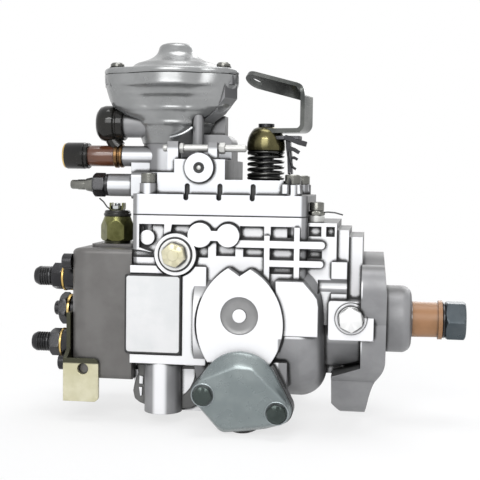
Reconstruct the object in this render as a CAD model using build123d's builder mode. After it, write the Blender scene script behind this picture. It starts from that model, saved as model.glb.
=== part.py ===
from build123d import *
import math
import os

os.makedirs("parts", exist_ok=True)

# Rotary distributor injection pump. X is the drive shaft's axis and points out of the drive end,
# Z is up, and the origin is on the shaft's axis at the front face of the mounting flange.

# Fits, all radial
running_gap = 0.05
plunger_gap = 0.03
thread_gap = 0.0

# Mounting flange and pilot
hub_r = 20.5
hub_len = 15.5
hub_round = 6.0
flange_r = 41.0
flange_thick = 14.5
ear_circle_r = 46.0
ear_r = 13.0
ear_root_r = 33.0
ear_hole_r = 4.5
lug_set_back = 12.0
lug_thick = 20.0

# Housing
house_left = -150.8
house_right = -46.5
house_corner = 5.0
house_half = 42.0
plate_wall_half = 44.0
split_z = 62.5
barrel_r = 49.0
barrel_left = -112.0
barrel_shoulder = -50.0
barrel_end = -36.0
neck_r = 30.0
left_block_low = -38.5
chamber_half = 34.0
chamber_left = -140.0
chamber_right = -64.0
chamber_floor = 20.0
left_bore_r = 33.5
ring_bore_left = -100.0
pump_bore_left = -64.0
pump_bore_right = -44.0
pocket_depth = 4.5
groove = 1.3

lock_face = 44.8
lock_at = (-20.2, 5.2)
plate_thick = 0.8
plate_width = 33.0
plate_height = 46.2
plate_at = (-136.8, 4.1)
pivot_boss_r = 12.4

# Drive shaft
shaft_r = 10.0
driver_r = 12.5
driver_left = -80.0
taper_start = 16.0
taper_end = 34.0
taper_tip_r = 8.4
shaft_thread_r = 7.0
shaft_tip = 47.5
bush_r = 12.5
bush_left = -44.0
bush_right = 5.0
seal_r = 13.5
seal_left = 6.0
seal_right = 13.0
sleeve_wall = 0.9
sleeve_flange_r = 11.9
sleeve_flange_len = 2.5
washer_thick = 2.0
washer_r = 11.0
nut_flats = 22.0
nut_height = 12.0

# Feed pump
pump_ring_r = 31.5
pump_ring_left = -60.0
rotor_r = 16.0
vane_reach = 1.6
vane_thick = 3.0
ring_offset = 2.0
ring_hollow_r = 20.0
pump_plate_thick = 3.5
key_width = 4.0
key_height = 3.0
key_len = 10.0
key_left = -54.0

# Governor gears and axle
gear_module = 1.5
drive_teeth = 40
carrier_teeth = 32
gear_left = -76.0
gear_width = 10.0
axle_r = 4.0
axle_left = -106.0
axle_right = -52.0

# Roller ring, cam plate and coupling
ring_r = 32.0
ring_hole_r = 14.5
ring_left = -98.0
ring_right = -80.0
roller_r = 5.0
roller_len = 10.0
roller_circle_r = 21.0
roller_centre = -97.0
cam_r = 29.0
cam_face = -104.4
cam_lift = 2.2
cam_thick = 4.6
disc_arm = 6.0

# Distributor plunger and its barrel
plunger_r = 5.0
foot_r = 9.0
foot_thick = 3.0
plunger_left = -184.0
liner_r = 12.0
liner_left = -190.0
liner_right = -131.0
spring_plate_thick = 2.5
spring_pair_y = 19.0
plunger_spring_r = 6.0
plunger_spring_wire = 1.8
spill_left = -130.4
spill_len = 7.0
spill_r = 9.5
ball_r = 2.2
ball_z = 8.5

# Distributor head
head_left = -190.0
head_half = 40.0
head_top = 42.0
head_low = -37.0
head_corner = 11.0
head_edge = 6.0
spigot_len = 8.5
outlet_circle_r = 29.0
outlet_turn = 6.0
outlet_thread_r = 6.0
outlet_tip = -218.0
outlet_hex_flats = 15.0
outlet_hex_left = -206.0
outlet_hex_right = -199.0
outlet_neck_r = 8.6
outlet_bore_r = 2.5
head_screw_y = 31.0
head_screw_high = 33.0
head_screw_low = -29.0
head_screw_r = 5.0
head_screw_len = 6.0

# Fuel shut-off solenoid
solenoid_x = -166.5
solenoid_y = -15.0
solenoid_flats = 18.0
solenoid_seat = 44.0
solenoid_top = 60.8
solenoid_pin_r = 4.0

# Governor cover
gasket_thick = 0.8
cover_flange_top = 75.2
body_left = -141.5
body_step = -95.6
body_half = house_half - 4
body_top = 88.0
shelf_left = -126.0
shelf_top = 96.0
low_right = -56.0
low_top = 84.0
corner_screw_y = house_half - 5.5
corner_left = -141.5
corner_right = -55.5
corner_seat = 81.5
pivot_x = -123.4
pivot_z = 39.9
pivot_bolt_r = 5.0
pivot_flats = 14.0

# Boost compensator
boost_x = -133.0
boost_flange_z = 147.0
boost_r = 37.5
bowl_foot_r = 20.0
bowl_floor = 113.0
lug_circle_r = 38.0
lug_r = 7.2
lug_first = -30.0
stem_r = 4.0
boost_top = 168.5
boost_cap_r = 10.8
diaphragm_r = 32.0

# Throttle lever
throttle_x = -75.8
throttle_r = 5.0
throttle_top = 119.0
lever_z = 113.0
lever_thick = 3.0
lever_width = 14.0
lever_turn = -17.0
cup_r = 11.8
cup_deep = 11.0

# Timing device
timing_x = -81.9
timing_z = -45.5
piston_r = 10.5
timing_face = 53.0
timing_cap = 9.0
timing_cap_r = 24.0
timing_bolt_half = 21.7
timing_bolt_z = -43.4
timing_bolt_turn = -11.5
timing_lug_r = 8.0
ring_pin_r = 2.4
pin_ball_r = 4.0

governor_z = gear_module * (drive_teeth + carrier_teeth) / 2
cover_low = split_z + gasket_thick


def hexagon_prism(flats, low, high, at, plane):
    """A hexagon prism between two offsets along the plane's normal."""
    with BuildPart() as prism:
        with BuildSketch(plane.offset(low)):
            with Locations(at):
                RegularPolygon(flats / 2, 6, major_radius=False)
        extrude(amount=high - low)
    return prism.part


def rod(radius, low, high, at, plane):
    """A round bar between two offsets along the plane's normal."""
    with BuildPart() as bar:
        with BuildSketch(plane.offset(low)):
            with Locations(at):
                Circle(radius)
        extrude(amount=high - low)
    return bar.part


def ring_bar(radius, hole, low, high, at, plane):
    """A tube between two offsets along the plane's normal."""
    with BuildPart() as tube:
        with BuildSketch(plane.offset(low)):
            with Locations(at):
                Circle(radius)
                Circle(hole, mode=Mode.SUBTRACT)
        extrude(amount=high - low)
    return tube.part


def gear_outline(teeth, phase):
    """Points of a spur gear's outline with straight tooth flanks."""
    pitch_r = gear_module * teeth / 2
    tip_r = pitch_r + gear_module * 0.95
    root_r = pitch_r - gear_module * 1.2
    step = 360.0 / teeth
    points = []
    for tooth in range(teeth):
        middle = phase + tooth * step
        for share, radius in ((-0.34, root_r), (-0.225, pitch_r), (-0.10, tip_r),
                              (0.10, tip_r), (0.225, pitch_r), (0.34, root_r)):
            angle = math.radians(middle + share * step)
            points.append((radius * math.cos(angle), radius * math.sin(angle)))
    return points


# Planes: normal +X for what lies across the shaft, normal -Y for the near side
cross = Plane.YZ
near = Plane.XZ
governor_plane = Plane(origin=(0, 0, governor_z), x_dir=(0, 1, 0), z_dir=(1, 0, 0))

# Mounting flange: a disc with three ears, and a side profile that sets the bottom ear back
with BuildSketch() as ear_outline:
    Circle(ear_root_r)
    with Locations((ear_circle_r, 0)):
        Circle(ear_r)
    make_hull()

with BuildPart() as flange_form:
    with BuildSketch(cross.offset(-lug_set_back - lug_thick)):
        Circle(flange_r)
        for ear_angle in (30, 150, 270):
            add(ear_outline.sketch, rotation=ear_angle)
    extrude(amount=lug_set_back + lug_thick)
    with BuildSketch(near):
        with BuildLine():
            Polyline(
                (-flange_thick, flange_r + 2),
                (-2, flange_r + 2),
                (-2, flange_r),
                (0, flange_r / 2),
                (0, -flange_r / 2),
            )
            Spline(
                (0, -flange_r / 2),
                (-6.2, -flange_r + 4),
                (-lug_set_back, -ear_circle_r - ear_r),
                tangents=[(0, -1), (-0.3, -1)],
            )
            Polyline(
                (-lug_set_back, -ear_circle_r - ear_r),
                (-lug_set_back - lug_thick + 6, -ear_circle_r - ear_r),
                (-lug_set_back - lug_thick, -ear_circle_r - ear_r + 7),
                (-lug_set_back - lug_thick, -neck_r - 3),
                (-flange_thick, -neck_r + 4),
                (-flange_thick, flange_r + 2),
            )
        make_face()
    extrude(amount=2 * flange_r, both=True, mode=Mode.INTERSECT)

# Recesses of the ribbed side walls: left, right, low, high of each
side_recesses = (
    (-85.6, -71.4, 49.4, 57.2),
    (-67.6, -54.4, 49.4, 57.2),
    (-83.6, -71.6, 39.2, 44.4),
    (-67.6, -54.4, 38.2, 44.4),
    (-99.6, -88.2, 39.4, 47.0),
    (-113.0, -104.4, 38.2, 46.5),
    (-67.6, -54.4, 29.6, 33.6),
)
with BuildPart() as side_pockets:
    with BuildSketch(near.offset(house_half - pocket_depth)):
        for left, right, low, high in side_recesses:
            with Locations(((left + right) / 2, (low + high) / 2)):
                Rectangle(right - left, high - low)
        with BuildLine():
            Polyline((-127.4, 50), (-113, 50), (-113, 57.4), (-126.2, 57.4), (-127.4, 50))
        make_face()
        with BuildLine():
            Polyline((-146, 43.4), (-136, 40), (-131, 51), (-130.8, 57.4), (-146, 57.4), (-146, 43.4))
        make_face()
        with BuildLine():
            Polyline((-154, 37.6), (-134, 37.6), (-134, 40), (-146, 42), (-154, 42), (-154, 37.6))
        make_face()
    extrude(amount=pocket_depth + 6)
    mirror(about=Plane.XZ)

# Timing cover outline, shared by the boss on the housing and by the cap
timing_turn = math.radians(timing_bolt_turn)
timing_bolts = [
    (
        timing_x + side * timing_bolt_half * math.cos(timing_turn),
        timing_bolt_z + side * timing_bolt_half * math.sin(timing_turn),
    )
    for side in (-1, 1)
]
timing_cap_centre = (timing_x - 1, timing_bolt_z + 5)


def timing_outline(grow):
    """The timing cap's blunt hexagon with a lug at each of its two screws."""
    centre_x, centre_z = timing_cap_centre
    with BuildSketch() as outline:
        with Locations((centre_x, centre_z + 1)):
            Circle(timing_cap_r - 1 + grow)
        with Locations(*timing_bolts):
            Circle(timing_lug_r + grow)
        with Locations((centre_x + 20.5, centre_z - 9), (centre_x - 8, centre_z - 17), (centre_x + 14, centre_z - 14)):
            Circle(6 + grow)
        make_hull()
    return outline.sketch


# The raised shield on the near wall: two lobes with a notch between them
shield_y = 51.0
with BuildSketch() as shield_outline:
    with BuildLine():
        Line((-91.1, 33.2), (-84.4, 28.6))
        Line((-84.4, 28.6), (-78.2, 32.8))
        ThreePointArc((-78.2, 32.8), (-58.8, 1.6), (-66.2, -22.0))
        Line((-66.2, -22.0), (-102.6, -22.0))
        ThreePointArc((-102.6, -22.0), (-109.4, -0.8), (-91.1, 33.2))
    make_face()
with BuildPart() as shield_form:
    with BuildSketch(near.offset(barrel_r - 14)):
        add(shield_outline.sketch)
    extrude(amount=shield_y - barrel_r + 14)

with BuildPart() as pump_housing:
    # barrel round the drive shaft with a rounded shoulder and a neck
    with BuildSketch(near):
        with BuildLine():
            Polyline((barrel_end, 0), (-flange_thick, 0), (-flange_thick, neck_r), (barrel_end, neck_r))
            Line((barrel_end, neck_r), (barrel_end, neck_r + 6))
            ThreePointArc(
                (barrel_end, neck_r + 6),
                (barrel_end - 4.6, barrel_r - 4.5),
                (barrel_shoulder, barrel_r),
            )
            Polyline((barrel_shoulder, barrel_r), (barrel_left, barrel_r), (barrel_left, 0), (barrel_end, 0))
        make_face()
    revolve(axis=Axis.X)
    # governor chamber block above, and the block that carries the head
    with BuildSketch(Plane.XY):
        with Locations(((house_left + house_right) / 2, 0)):
            RectangleRounded(house_right - house_left, 2 * house_half, house_corner)
    extrude(amount=split_z)
    with BuildSketch(Plane.XY.offset(left_block_low)):
        with Locations(((house_left + barrel_left) / 2 + 3.5, 0)):
            Rectangle(barrel_left - house_left + 7, 64)
    extrude(amount=pivot_z - 7 - left_block_low)
    with BuildSketch(Plane.XY.offset(-25.5)):
        with Locations(((house_left + barrel_left) / 2 + 3.5, 0)):
            Rectangle(barrel_left - house_left + 7, 2 * plate_wall_half)
    extrude(amount=pivot_z - 7 + 25.5)
    # stepped block over the neck, with an upright web on each side
    with BuildSketch(Plane.XY):
        with Locations(((house_right - 30.5) / 2, 0)):
            Rectangle(-28.5 - house_right, 74)
    extrude(amount=59.6)
    with BuildSketch(Plane.XY):
        with Locations((-26.5, 0)):
            Rectangle(8, 66)
    extrude(amount=55.5)
    with BuildSketch(Plane.XY):
        with Locations(((-24 - flange_thick) / 2, 0)):
            Rectangle(24 - flange_thick, 60)
    extrude(amount=51.5)
    with BuildSketch(Plane.XY.offset(14.6)):
        with Locations((-27.6, 0)):
            Rectangle(9, 78)
    extrude(amount=22.6)
    add(flange_form.part)
    # pilot
    with BuildSketch(cross.offset(-1)):
        Circle(hub_r)
    extrude(amount=hub_len + 1)
    fillet(
        pump_housing.edges().filter_by(GeomType.CIRCLE).filter_by(
            lambda e: abs(e.center().X - hub_len) < 0.01
        ),
        hub_round,
    )
    # sump and the upright half-round boss at its near corner
    with BuildSketch(Plane.XY.offset(-56)):
        with Locations((-118, 0)):
            Rectangle(46, 60)
        with Locations((-132.6, -32.5)):
            Circle(11.4)
        with Locations((-132.6, 32.5)):
            Circle(11.4)
    extrude(amount=32)
    # boss across the pump for the timing piston
    with BuildSketch(near.offset(-timing_face)):
        with Locations((timing_x, timing_z)):
            Circle(piston_r + 6.5)
    extrude(amount=2 * timing_face)
    with BuildSketch(near.offset(timing_face - 11)):
        add(timing_outline(0.6))
    extrude(amount=11)
    with BuildSketch(near.offset(-timing_face)):
        add(timing_outline(0.6))
    extrude(amount=11)
    # square block beside the timing boss
    with BuildSketch(near.offset(-47)):
        with Locations((-62.3, -30)):
            Rectangle(11.6, 17)
    extrude(amount=94)
    # recesses of the walls, with grooves round the plate, the shield and the round bosses
    add(side_pockets.part, mode=Mode.SUBTRACT)
    with BuildSketch(near.offset(house_half - groove)):
        with Locations((pivot_x, pivot_z)):
            Circle(pivot_boss_r + groove)
        with Locations((-108.9, 51.6)):
            Circle(7.2 + groove)
        with Locations((-92.3, 51.6)):
            Circle(6.8 + groove)
    extrude(amount=groove + 4, mode=Mode.SUBTRACT)
    with BuildSketch(near.offset(plate_wall_half - groove)):
        with Locations(plate_at):
            Rectangle(plate_width + 2 * groove, plate_height + 2 * groove)
            RectangleRounded(plate_width, plate_height, 1.5, mode=Mode.SUBTRACT)
    extrude(amount=groove + 4, mode=Mode.SUBTRACT)
    with BuildSketch(near.offset(barrel_r - 2.6)):
        offset(shield_outline.sketch, amount=groove)
    extrude(amount=8, mode=Mode.SUBTRACT)
    # shield, pads and round bosses of the near wall
    add(shield_form.part)
    with BuildSketch(near.offset(house_half - 6)):
        with Locations((pivot_x, pivot_z)):
            Circle(pivot_boss_r)
        with Locations((-108.9, 51.6)):
            Circle(7.2)
        with Locations((-92.3, 51.6)):
            Circle(6.8)
        with Locations((-100.35, 51.3)):
            Rectangle(8, 5.8)
    extrude(amount=9.5)
    with BuildSketch(near.offset(house_half - 6)):
        with Locations((-141.4, 49.4)):
            Circle(4.4)
    extrude(amount=4.5)
    with BuildSketch(near.offset(-house_half - 3.5)):
        with Locations((pivot_x, pivot_z)):
            Circle(pivot_boss_r)
    extrude(amount=7.5)
    # ribs that run on over the neck
    with BuildSketch(near.offset(house_half - 6)):
        with Locations((-62.4, 46.9)):
            SlotOverall(53, 4.2)
        with Locations((-53.2, 35.9)):
            SlotOverall(33, 3.8)
        with Locations((-69.5, 36), (-52.1, 41)):
            Rectangle(3.2, 32)
    extrude(amount=8)
    # lock bolt pad and the web to the bottom ear
    with BuildSketch(near.offset(10)):
        with Locations((-20.2, 3.8)):
            RectangleRounded(26, 22.6, 1.5)
    extrude(amount=34)
    with BuildSketch(near.offset(40)):
        with Locations(lock_at):
            Circle(9)
    extrude(amount=lock_face - 40)
    with BuildSketch(near.offset(-3)):
        with Locations((-34, -31.5)):
            Rectangle(14, 7)
    extrude(amount=6)
    # dished centre of the shield, and hollows in the block over the neck
    with BuildSketch(near.offset(shield_y - 1.2)):
        with Locations((-84.2, 5.6)):
            Circle(11)
            Circle(4, mode=Mode.SUBTRACT)
    extrude(amount=4, mode=Mode.SUBTRACT)
    with BuildSketch(near.offset(31)):
        with Locations((-42.2, 54.6)):
            Rectangle(7.4, 5.8)
        with Locations((-33.2, 54.6)):
            Rectangle(5, 5.8)
        with Locations((-42.4, 41)):
            Rectangle(9, 4.4)
    extrude(amount=12, mode=Mode.SUBTRACT)
    with BuildSketch(near.offset(-43)):
        with Locations((-42.2, 54.6)):
            Rectangle(7.4, 5.8)
        with Locations((-33.2, 54.6)):
            Rectangle(5, 5.8)
    extrude(amount=12, mode=Mode.SUBTRACT)
    # bores along the shaft
    with BuildSketch(cross.offset(house_left)):
        Circle(left_bore_r)
    extrude(amount=ring_bore_left - house_left, mode=Mode.SUBTRACT)
    with BuildSketch(cross.offset(ring_bore_left)):
        Circle(ring_r + running_gap)
    extrude(amount=pump_bore_left - ring_bore_left, mode=Mode.SUBTRACT)
    with BuildSketch(cross.offset(pump_bore_left)):
        Circle(pump_ring_r)
    extrude(amount=pump_bore_right - pump_bore_left, mode=Mode.SUBTRACT)
    with BuildSketch(cross.offset(pump_bore_right)):
        Circle(bush_r)
    extrude(amount=hub_len - pump_bore_right, mode=Mode.SUBTRACT)
    with BuildSketch(cross.offset(seal_left)):
        Circle(seal_r)
    extrude(amount=hub_len - seal_left, mode=Mode.SUBTRACT)
    # governor chamber, open to the cover
    with BuildSketch(Plane.XY.offset(chamber_floor)):
        with Locations(((chamber_left + chamber_right) / 2, 0)):
            Rectangle(chamber_right - chamber_left, 2 * chamber_half)
    extrude(amount=split_z - chamber_floor, mode=Mode.SUBTRACT)
    with BuildSketch(cross.offset(chamber_right)):
        with Locations((0, governor_z)):
            Circle(axle_r)
    extrude(amount=axle_right - chamber_right, mode=Mode.SUBTRACT)
    # timing piston bore and the slot for the ring's pin
    with BuildSketch(near.offset(-timing_face)):
        with Locations((timing_x, timing_z)):
            Circle(piston_r + running_gap)
    extrude(amount=2 * timing_face, mode=Mode.SUBTRACT)
    with BuildSketch(Plane.XY.offset(timing_z)):
        with Locations((timing_x, 0)):
            SlotOverall(28, 2 * ring_pin_r + 2, rotation=90)
    extrude(amount=-timing_z - ring_r + 3, mode=Mode.SUBTRACT)
    with BuildSketch(near.offset(timing_face - 10)):
        with Locations(*timing_bolts):
            Circle(3)
    extrude(amount=10, mode=Mode.SUBTRACT)
    with BuildSketch(near.offset(-timing_face)):
        with Locations(*timing_bolts):
            Circle(3)
    extrude(amount=10, mode=Mode.SUBTRACT)
    # lever pivot bolts, lock bolt and flange bolt holes
    with BuildSketch(near.offset(-house_half - 3.5)):
        with Locations((pivot_x, pivot_z)):
            Circle(pivot_bolt_r)
    extrude(amount=2 * house_half + 7, mode=Mode.SUBTRACT)
    with BuildSketch(near.offset(14)):
        with Locations(lock_at):
            Circle(4)
    extrude(amount=lock_face - 14, mode=Mode.SUBTRACT)
    with BuildSketch(cross.offset(-40)):
        with PolarLocations(ear_circle_r, 3, start_angle=30):
            Circle(ear_hole_r)
    extrude(amount=41, mode=Mode.SUBTRACT)
    # screw holes under the cover's corners
    with BuildSketch(Plane.XY.offset(split_z - 12)):
        with Locations(
            *[(x, y) for x in (corner_left, corner_right) for y in (-corner_screw_y, corner_screw_y)]
        ):
            Circle(3)
    extrude(amount=12, mode=Mode.SUBTRACT)
    # screw holes for the head
    with BuildSketch(cross.offset(house_left)):
        with Locations(
            *[(y, z) for y in (-head_screw_y, head_screw_y) for z in (head_screw_high, head_screw_low)]
        ):
            Circle(3)
    extrude(amount=8, mode=Mode.SUBTRACT)
pump_housing.part.label = "pump_housing"
export_step(pump_housing.part, "parts/pump_housing.step")

# Shaft bush and shaft seal
with BuildPart() as shaft_bush:
    add(ring_bar(bush_r, shaft_r + running_gap, bush_left, bush_right, (0, 0), cross))
shaft_bush.part.label = "shaft_bush"
export_step(shaft_bush.part, "parts/shaft_bush.step")

with BuildPart() as shaft_seal:
    add(ring_bar(seal_r, shaft_r + running_gap, seal_left, seal_right, (0, 0), cross))
    with BuildSketch(cross.offset(seal_left)):
        Circle(seal_r - 1)
        Circle(shaft_r + 0.9, mode=Mode.SUBTRACT)
    extrude(amount=4, mode=Mode.SUBTRACT)
shaft_seal.part.label = "shaft_seal"
export_step(shaft_seal.part, "parts/shaft_seal.step")

# Drive shaft: journal, taper, thread and the driver with two claws at its inner end
claw_len = 8.0
claw_left = driver_left - claw_len
disc_half = 2.0


def claw_pair(middle):
    """Two opposite claws of the coupling, cut clear of the cross disc's diagonal arms."""
    with BuildSketch() as claws:
        Circle(driver_r)
        Circle(disc_arm, mode=Mode.SUBTRACT)
        for side in (90, 270):
            with BuildSketch(mode=Mode.PRIVATE) as wedge:
                Polygon((0, 0), (2 * driver_r, 2 * driver_r), (2 * driver_r, -2 * driver_r), align=None)
            add(wedge.sketch, rotation=middle + side, mode=Mode.SUBTRACT)
        with PolarLocations(0, 2, start_angle=45):
            Rectangle(3 * driver_r, 2 * disc_half + 0.6, mode=Mode.SUBTRACT)
    return claws.sketch


with BuildPart() as drive_shaft:
    with BuildSketch(near):
        with BuildLine():
            Polyline(
                (driver_left, 0),
                (driver_left, driver_r),
                (pump_bore_left - 0.5, driver_r),
                (pump_bore_left - 0.5, shaft_r),
                (taper_start, shaft_r),
                (taper_end, taper_tip_r),
                (taper_end, shaft_thread_r),
                (shaft_tip - 1, shaft_thread_r),
                (shaft_tip, shaft_thread_r - 1),
                (shaft_tip, 0),
                (driver_left, 0),
            )
        make_face()
    revolve(axis=Axis.X)
    with BuildSketch(cross.offset(claw_left)):
        add(claw_pair(90))
    extrude(amount=claw_len)
    # the key that drives the feed pump's rotor
    with BuildSketch(cross.offset(key_left)):
        with Locations((0, shaft_r)):
            Rectangle(key_width, 2 * key_height - 1.5)
    extrude(amount=key_len)
drive_shaft.part.label = "drive_shaft"
export_step(drive_shaft.part, "parts/drive_shaft.step")

# Protective sleeve over the taper, washer and nut at the shaft's end
sleeve_inner = shaft_r
with BuildPart() as taper_sleeve:
    with BuildSketch(near):
        with BuildLine():
            Polyline(
                (taper_start, sleeve_inner),
                (taper_start, sleeve_inner + sleeve_wall),
                (taper_end - sleeve_flange_len, sleeve_inner + sleeve_wall - 0.3),
                (taper_end - sleeve_flange_len, sleeve_flange_r),
                (taper_end, sleeve_flange_r),
                (taper_end, taper_tip_r),
                (taper_start, sleeve_inner),
            )
        make_face()
    revolve(axis=Axis.X)
taper_sleeve.part.label = "taper_sleeve"
export_step(taper_sleeve.part, "parts/taper_sleeve.step")

washer_end = taper_end + washer_thick
with BuildPart() as shaft_washer:
    add(ring_bar(washer_r, shaft_thread_r, taper_end, washer_end, (0, 0), cross))
shaft_washer.part.label = "shaft_washer"
export_step(shaft_washer.part, "parts/shaft_washer.step")

with BuildPart() as shaft_nut:
    with BuildSketch(cross.offset(washer_end)):
        RegularPolygon(nut_flats / 2, 6, major_radius=False, rotation=30)
    extrude(amount=nut_height)
    with BuildSketch(near):
        with BuildLine():
            Polyline(
                (washer_end, 0),
                (washer_end, nut_flats * 0.6),
                (washer_end + nut_height - 2.4, nut_flats * 0.6),
                (washer_end + nut_height, nut_flats * 0.47),
                (washer_end + nut_height, 0),
                (washer_end, 0),
            )
        make_face()
    revolve(axis=Axis.X, mode=Mode.INTERSECT)
    with BuildSketch(cross.offset(washer_end)):
        Circle(shaft_thread_r)
    extrude(amount=nut_height, mode=Mode.SUBTRACT)
shaft_nut.part.label = "shaft_nut"
export_step(shaft_nut.part, "parts/shaft_nut.step")

# Vane feed pump: ring with an offset hollow, rotor with four vanes, and the plate that closes it
with BuildPart() as feed_pump_ring:
    with BuildSketch(cross.offset(pump_ring_left)):
        Circle(pump_ring_r)
        with Locations((ring_offset, 0)):
            Circle(ring_hollow_r, mode=Mode.SUBTRACT)
    extrude(amount=pump_bore_right - pump_ring_left)
feed_pump_ring.part.label = "feed_pump_ring"
export_step(feed_pump_ring.part, "parts/feed_pump_ring.step")

with BuildPart() as feed_pump_plate:
    add(
        ring_bar(
            pump_ring_r,
            shaft_r + 0.5,
            pump_ring_left - pump_plate_thick,
            pump_ring_left,
            (0, 0),
            cross,
        )
    )
feed_pump_plate.part.label = "feed_pump_plate"
export_step(feed_pump_plate.part, "parts/feed_pump_plate.step")

rotor_left = pump_ring_left + running_gap
rotor_right = pump_bore_right - running_gap
with BuildPart() as feed_pump_rotor:
    with BuildSketch(cross.offset(rotor_left)):
        Circle(rotor_r)
        Circle(shaft_r, mode=Mode.SUBTRACT)
        with PolarLocations(rotor_r, 4, start_angle=45):
            Rectangle(9, vane_thick, mode=Mode.SUBTRACT)
    extrude(amount=rotor_right - rotor_left)
    with BuildSketch(cross.offset(key_left)):
        with Locations((0, shaft_r)):
            Rectangle(key_width, 2 * key_height - 1.5)
    extrude(amount=key_len, mode=Mode.SUBTRACT)
feed_pump_rotor.part.label = "feed_pump_rotor"
export_step(feed_pump_rotor.part, "parts/feed_pump_rotor.step")

with BuildPart() as feed_pump_vanes:
    with BuildSketch(cross.offset(rotor_left)):
        with PolarLocations((rotor_r - 4.5 + rotor_r + vane_reach) / 2, 4, start_angle=45):
            Rectangle(4.5 + vane_reach, vane_thick)
    extrude(amount=rotor_right - rotor_left)
feed_pump_vanes.part.label = "feed_pump_vanes"
export_step(feed_pump_vanes.part, "parts/feed_pump_vanes.step")

# Governor gears
with BuildPart() as governor_drive_gear:
    with BuildSketch(cross.offset(gear_left)):
        with BuildLine():
            Polyline(*gear_outline(drive_teeth, 0), close=True)
        make_face()
        Circle(driver_r, mode=Mode.SUBTRACT)
    extrude(amount=gear_width)
governor_drive_gear.part.label = "governor_drive_gear"
export_step(governor_drive_gear.part, "parts/governor_drive_gear.step")

# The upper gear's tooth gap faces the lower gear's top tooth
upper_phase = -90.0 + 180.0 / carrier_teeth
carrier_r = 19.0
carrier_left = -90.0
hinge_x = -87.0
hinge_r = 14.5
toe_arm = 9.3
weight_left = -108.0
weight_half = 4.0
with BuildPart() as flyweight_carrier:
    with BuildSketch(governor_plane.offset(gear_left)):
        with BuildLine():
            Polyline(*gear_outline(carrier_teeth, upper_phase), close=True)
        make_face()
    extrude(amount=gear_width)
    with BuildSketch(governor_plane.offset(carrier_left)):
        Circle(carrier_r)
    extrude(amount=gear_left - carrier_left)
    # four slots that hold the flyweights' toes, and room for the end of the sleeve
    with BuildSketch(governor_plane.offset(carrier_left)):
        with PolarLocations(carrier_r - 4, 4, start_angle=45):
            Rectangle(18, 2 * weight_half + 1)
        Circle(8)
    extrude(amount=9, mode=Mode.SUBTRACT)
    with BuildSketch(governor_plane.offset(carrier_left)):
        Circle(axle_r + running_gap)
    extrude(amount=gear_left + gear_width - carrier_left, mode=Mode.SUBTRACT)
flyweight_carrier.part.label = "flyweight_carrier"
export_step(flyweight_carrier.part, "parts/flyweight_carrier.step")

# Four flyweights round the governor's axle; each has a toe that reaches in to the sleeve
toe_left = hinge_x - 0.8
toe_right = hinge_x + 2.5
toe_r = hinge_r - toe_arm
for number in range(4):
    angle = 45 + 90 * number
    weight_plane = Plane(
        origin=(0, 0, governor_z),
        x_dir=(1, 0, 0),
        z_dir=(0, -math.sin(math.radians(angle)), math.cos(math.radians(angle))),
    )
    with BuildPart() as flyweight:
        with BuildSketch(weight_plane.offset(-weight_half)):
            with BuildLine():
                Polyline(
                    (weight_left, 9.5),
                    (weight_left, hinge_r + 2),
                    (carrier_left - 1, hinge_r + 2),
                    (hinge_x - 1.2, hinge_r + 2.5),
                    (toe_right, hinge_r + 1),
                    (toe_right, toe_r),
                    (toe_left, toe_r),
                    (toe_left, 11.0),
                    (carrier_left - 1, 12.0),
                    (carrier_left - 3, 9.5),
                    (weight_left, 9.5),
                )
            make_face()
        extrude(amount=2 * weight_half)
    flyweight.part.label = f"flyweight_{number + 1}"
    export_step(flyweight.part, f"parts/flyweight_{number + 1}.step")

with BuildPart() as governor_axle:
    with BuildSketch(governor_plane.offset(axle_left)):
        Circle(axle_r)
    extrude(amount=axle_right - axle_left)
governor_axle.part.label = "governor_axle"
export_step(governor_axle.part, "parts/governor_axle.step")

# Governor sleeve: slides on the axle and pushes the lever with its rounded tip
lever_thick_x = 5.0
sleeve_tip = pivot_x + lever_thick_x / 2 + 0.3
sleeve_tip_r = 3.2
sleeve_body_left = sleeve_tip + 6.6
sleeve_right = toe_left - 0.2
sleeve_r = 6.2
with BuildPart() as governor_sleeve:
    with BuildSketch(near):
        with BuildLine():
            ThreePointArc(
                (sleeve_tip, governor_z),
                (
                    sleeve_tip + sleeve_tip_r * (1 - math.sqrt(0.5)),
                    governor_z + sleeve_tip_r * math.sqrt(0.5),
                ),
                (sleeve_tip + sleeve_tip_r, governor_z + sleeve_tip_r),
            )
            Polyline(
                (sleeve_tip + sleeve_tip_r, governor_z + sleeve_tip_r),
                (sleeve_body_left, governor_z + sleeve_tip_r),
                (sleeve_body_left, governor_z + sleeve_r),
                (sleeve_right, governor_z + sleeve_r),
                (sleeve_right, governor_z + axle_r + running_gap),
                (axle_left - 4, governor_z + axle_r + running_gap),
                (axle_left - 4, governor_z),
                (sleeve_tip, governor_z),
            )
        make_face()
    revolve(axis=Axis((0, 0, governor_z), (1, 0, 0)))
governor_sleeve.part.label = "governor_sleeve"
export_step(governor_sleeve.part, "parts/governor_sleeve.step")

# Cross disc between the shaft's claws and the cam plate's claws
with BuildPart() as cross_disc:
    with BuildSketch(cross.offset(claw_left)):
        with PolarLocations(0, 2, start_angle=45):
            Rectangle(2 * driver_r - 3, 2 * disc_half)
        Circle(disc_arm - 0.3)
    extrude(amount=claw_len)
cross_disc.part.label = "cross_disc"
export_step(cross_disc.part, "parts/cross_disc.step")

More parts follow.
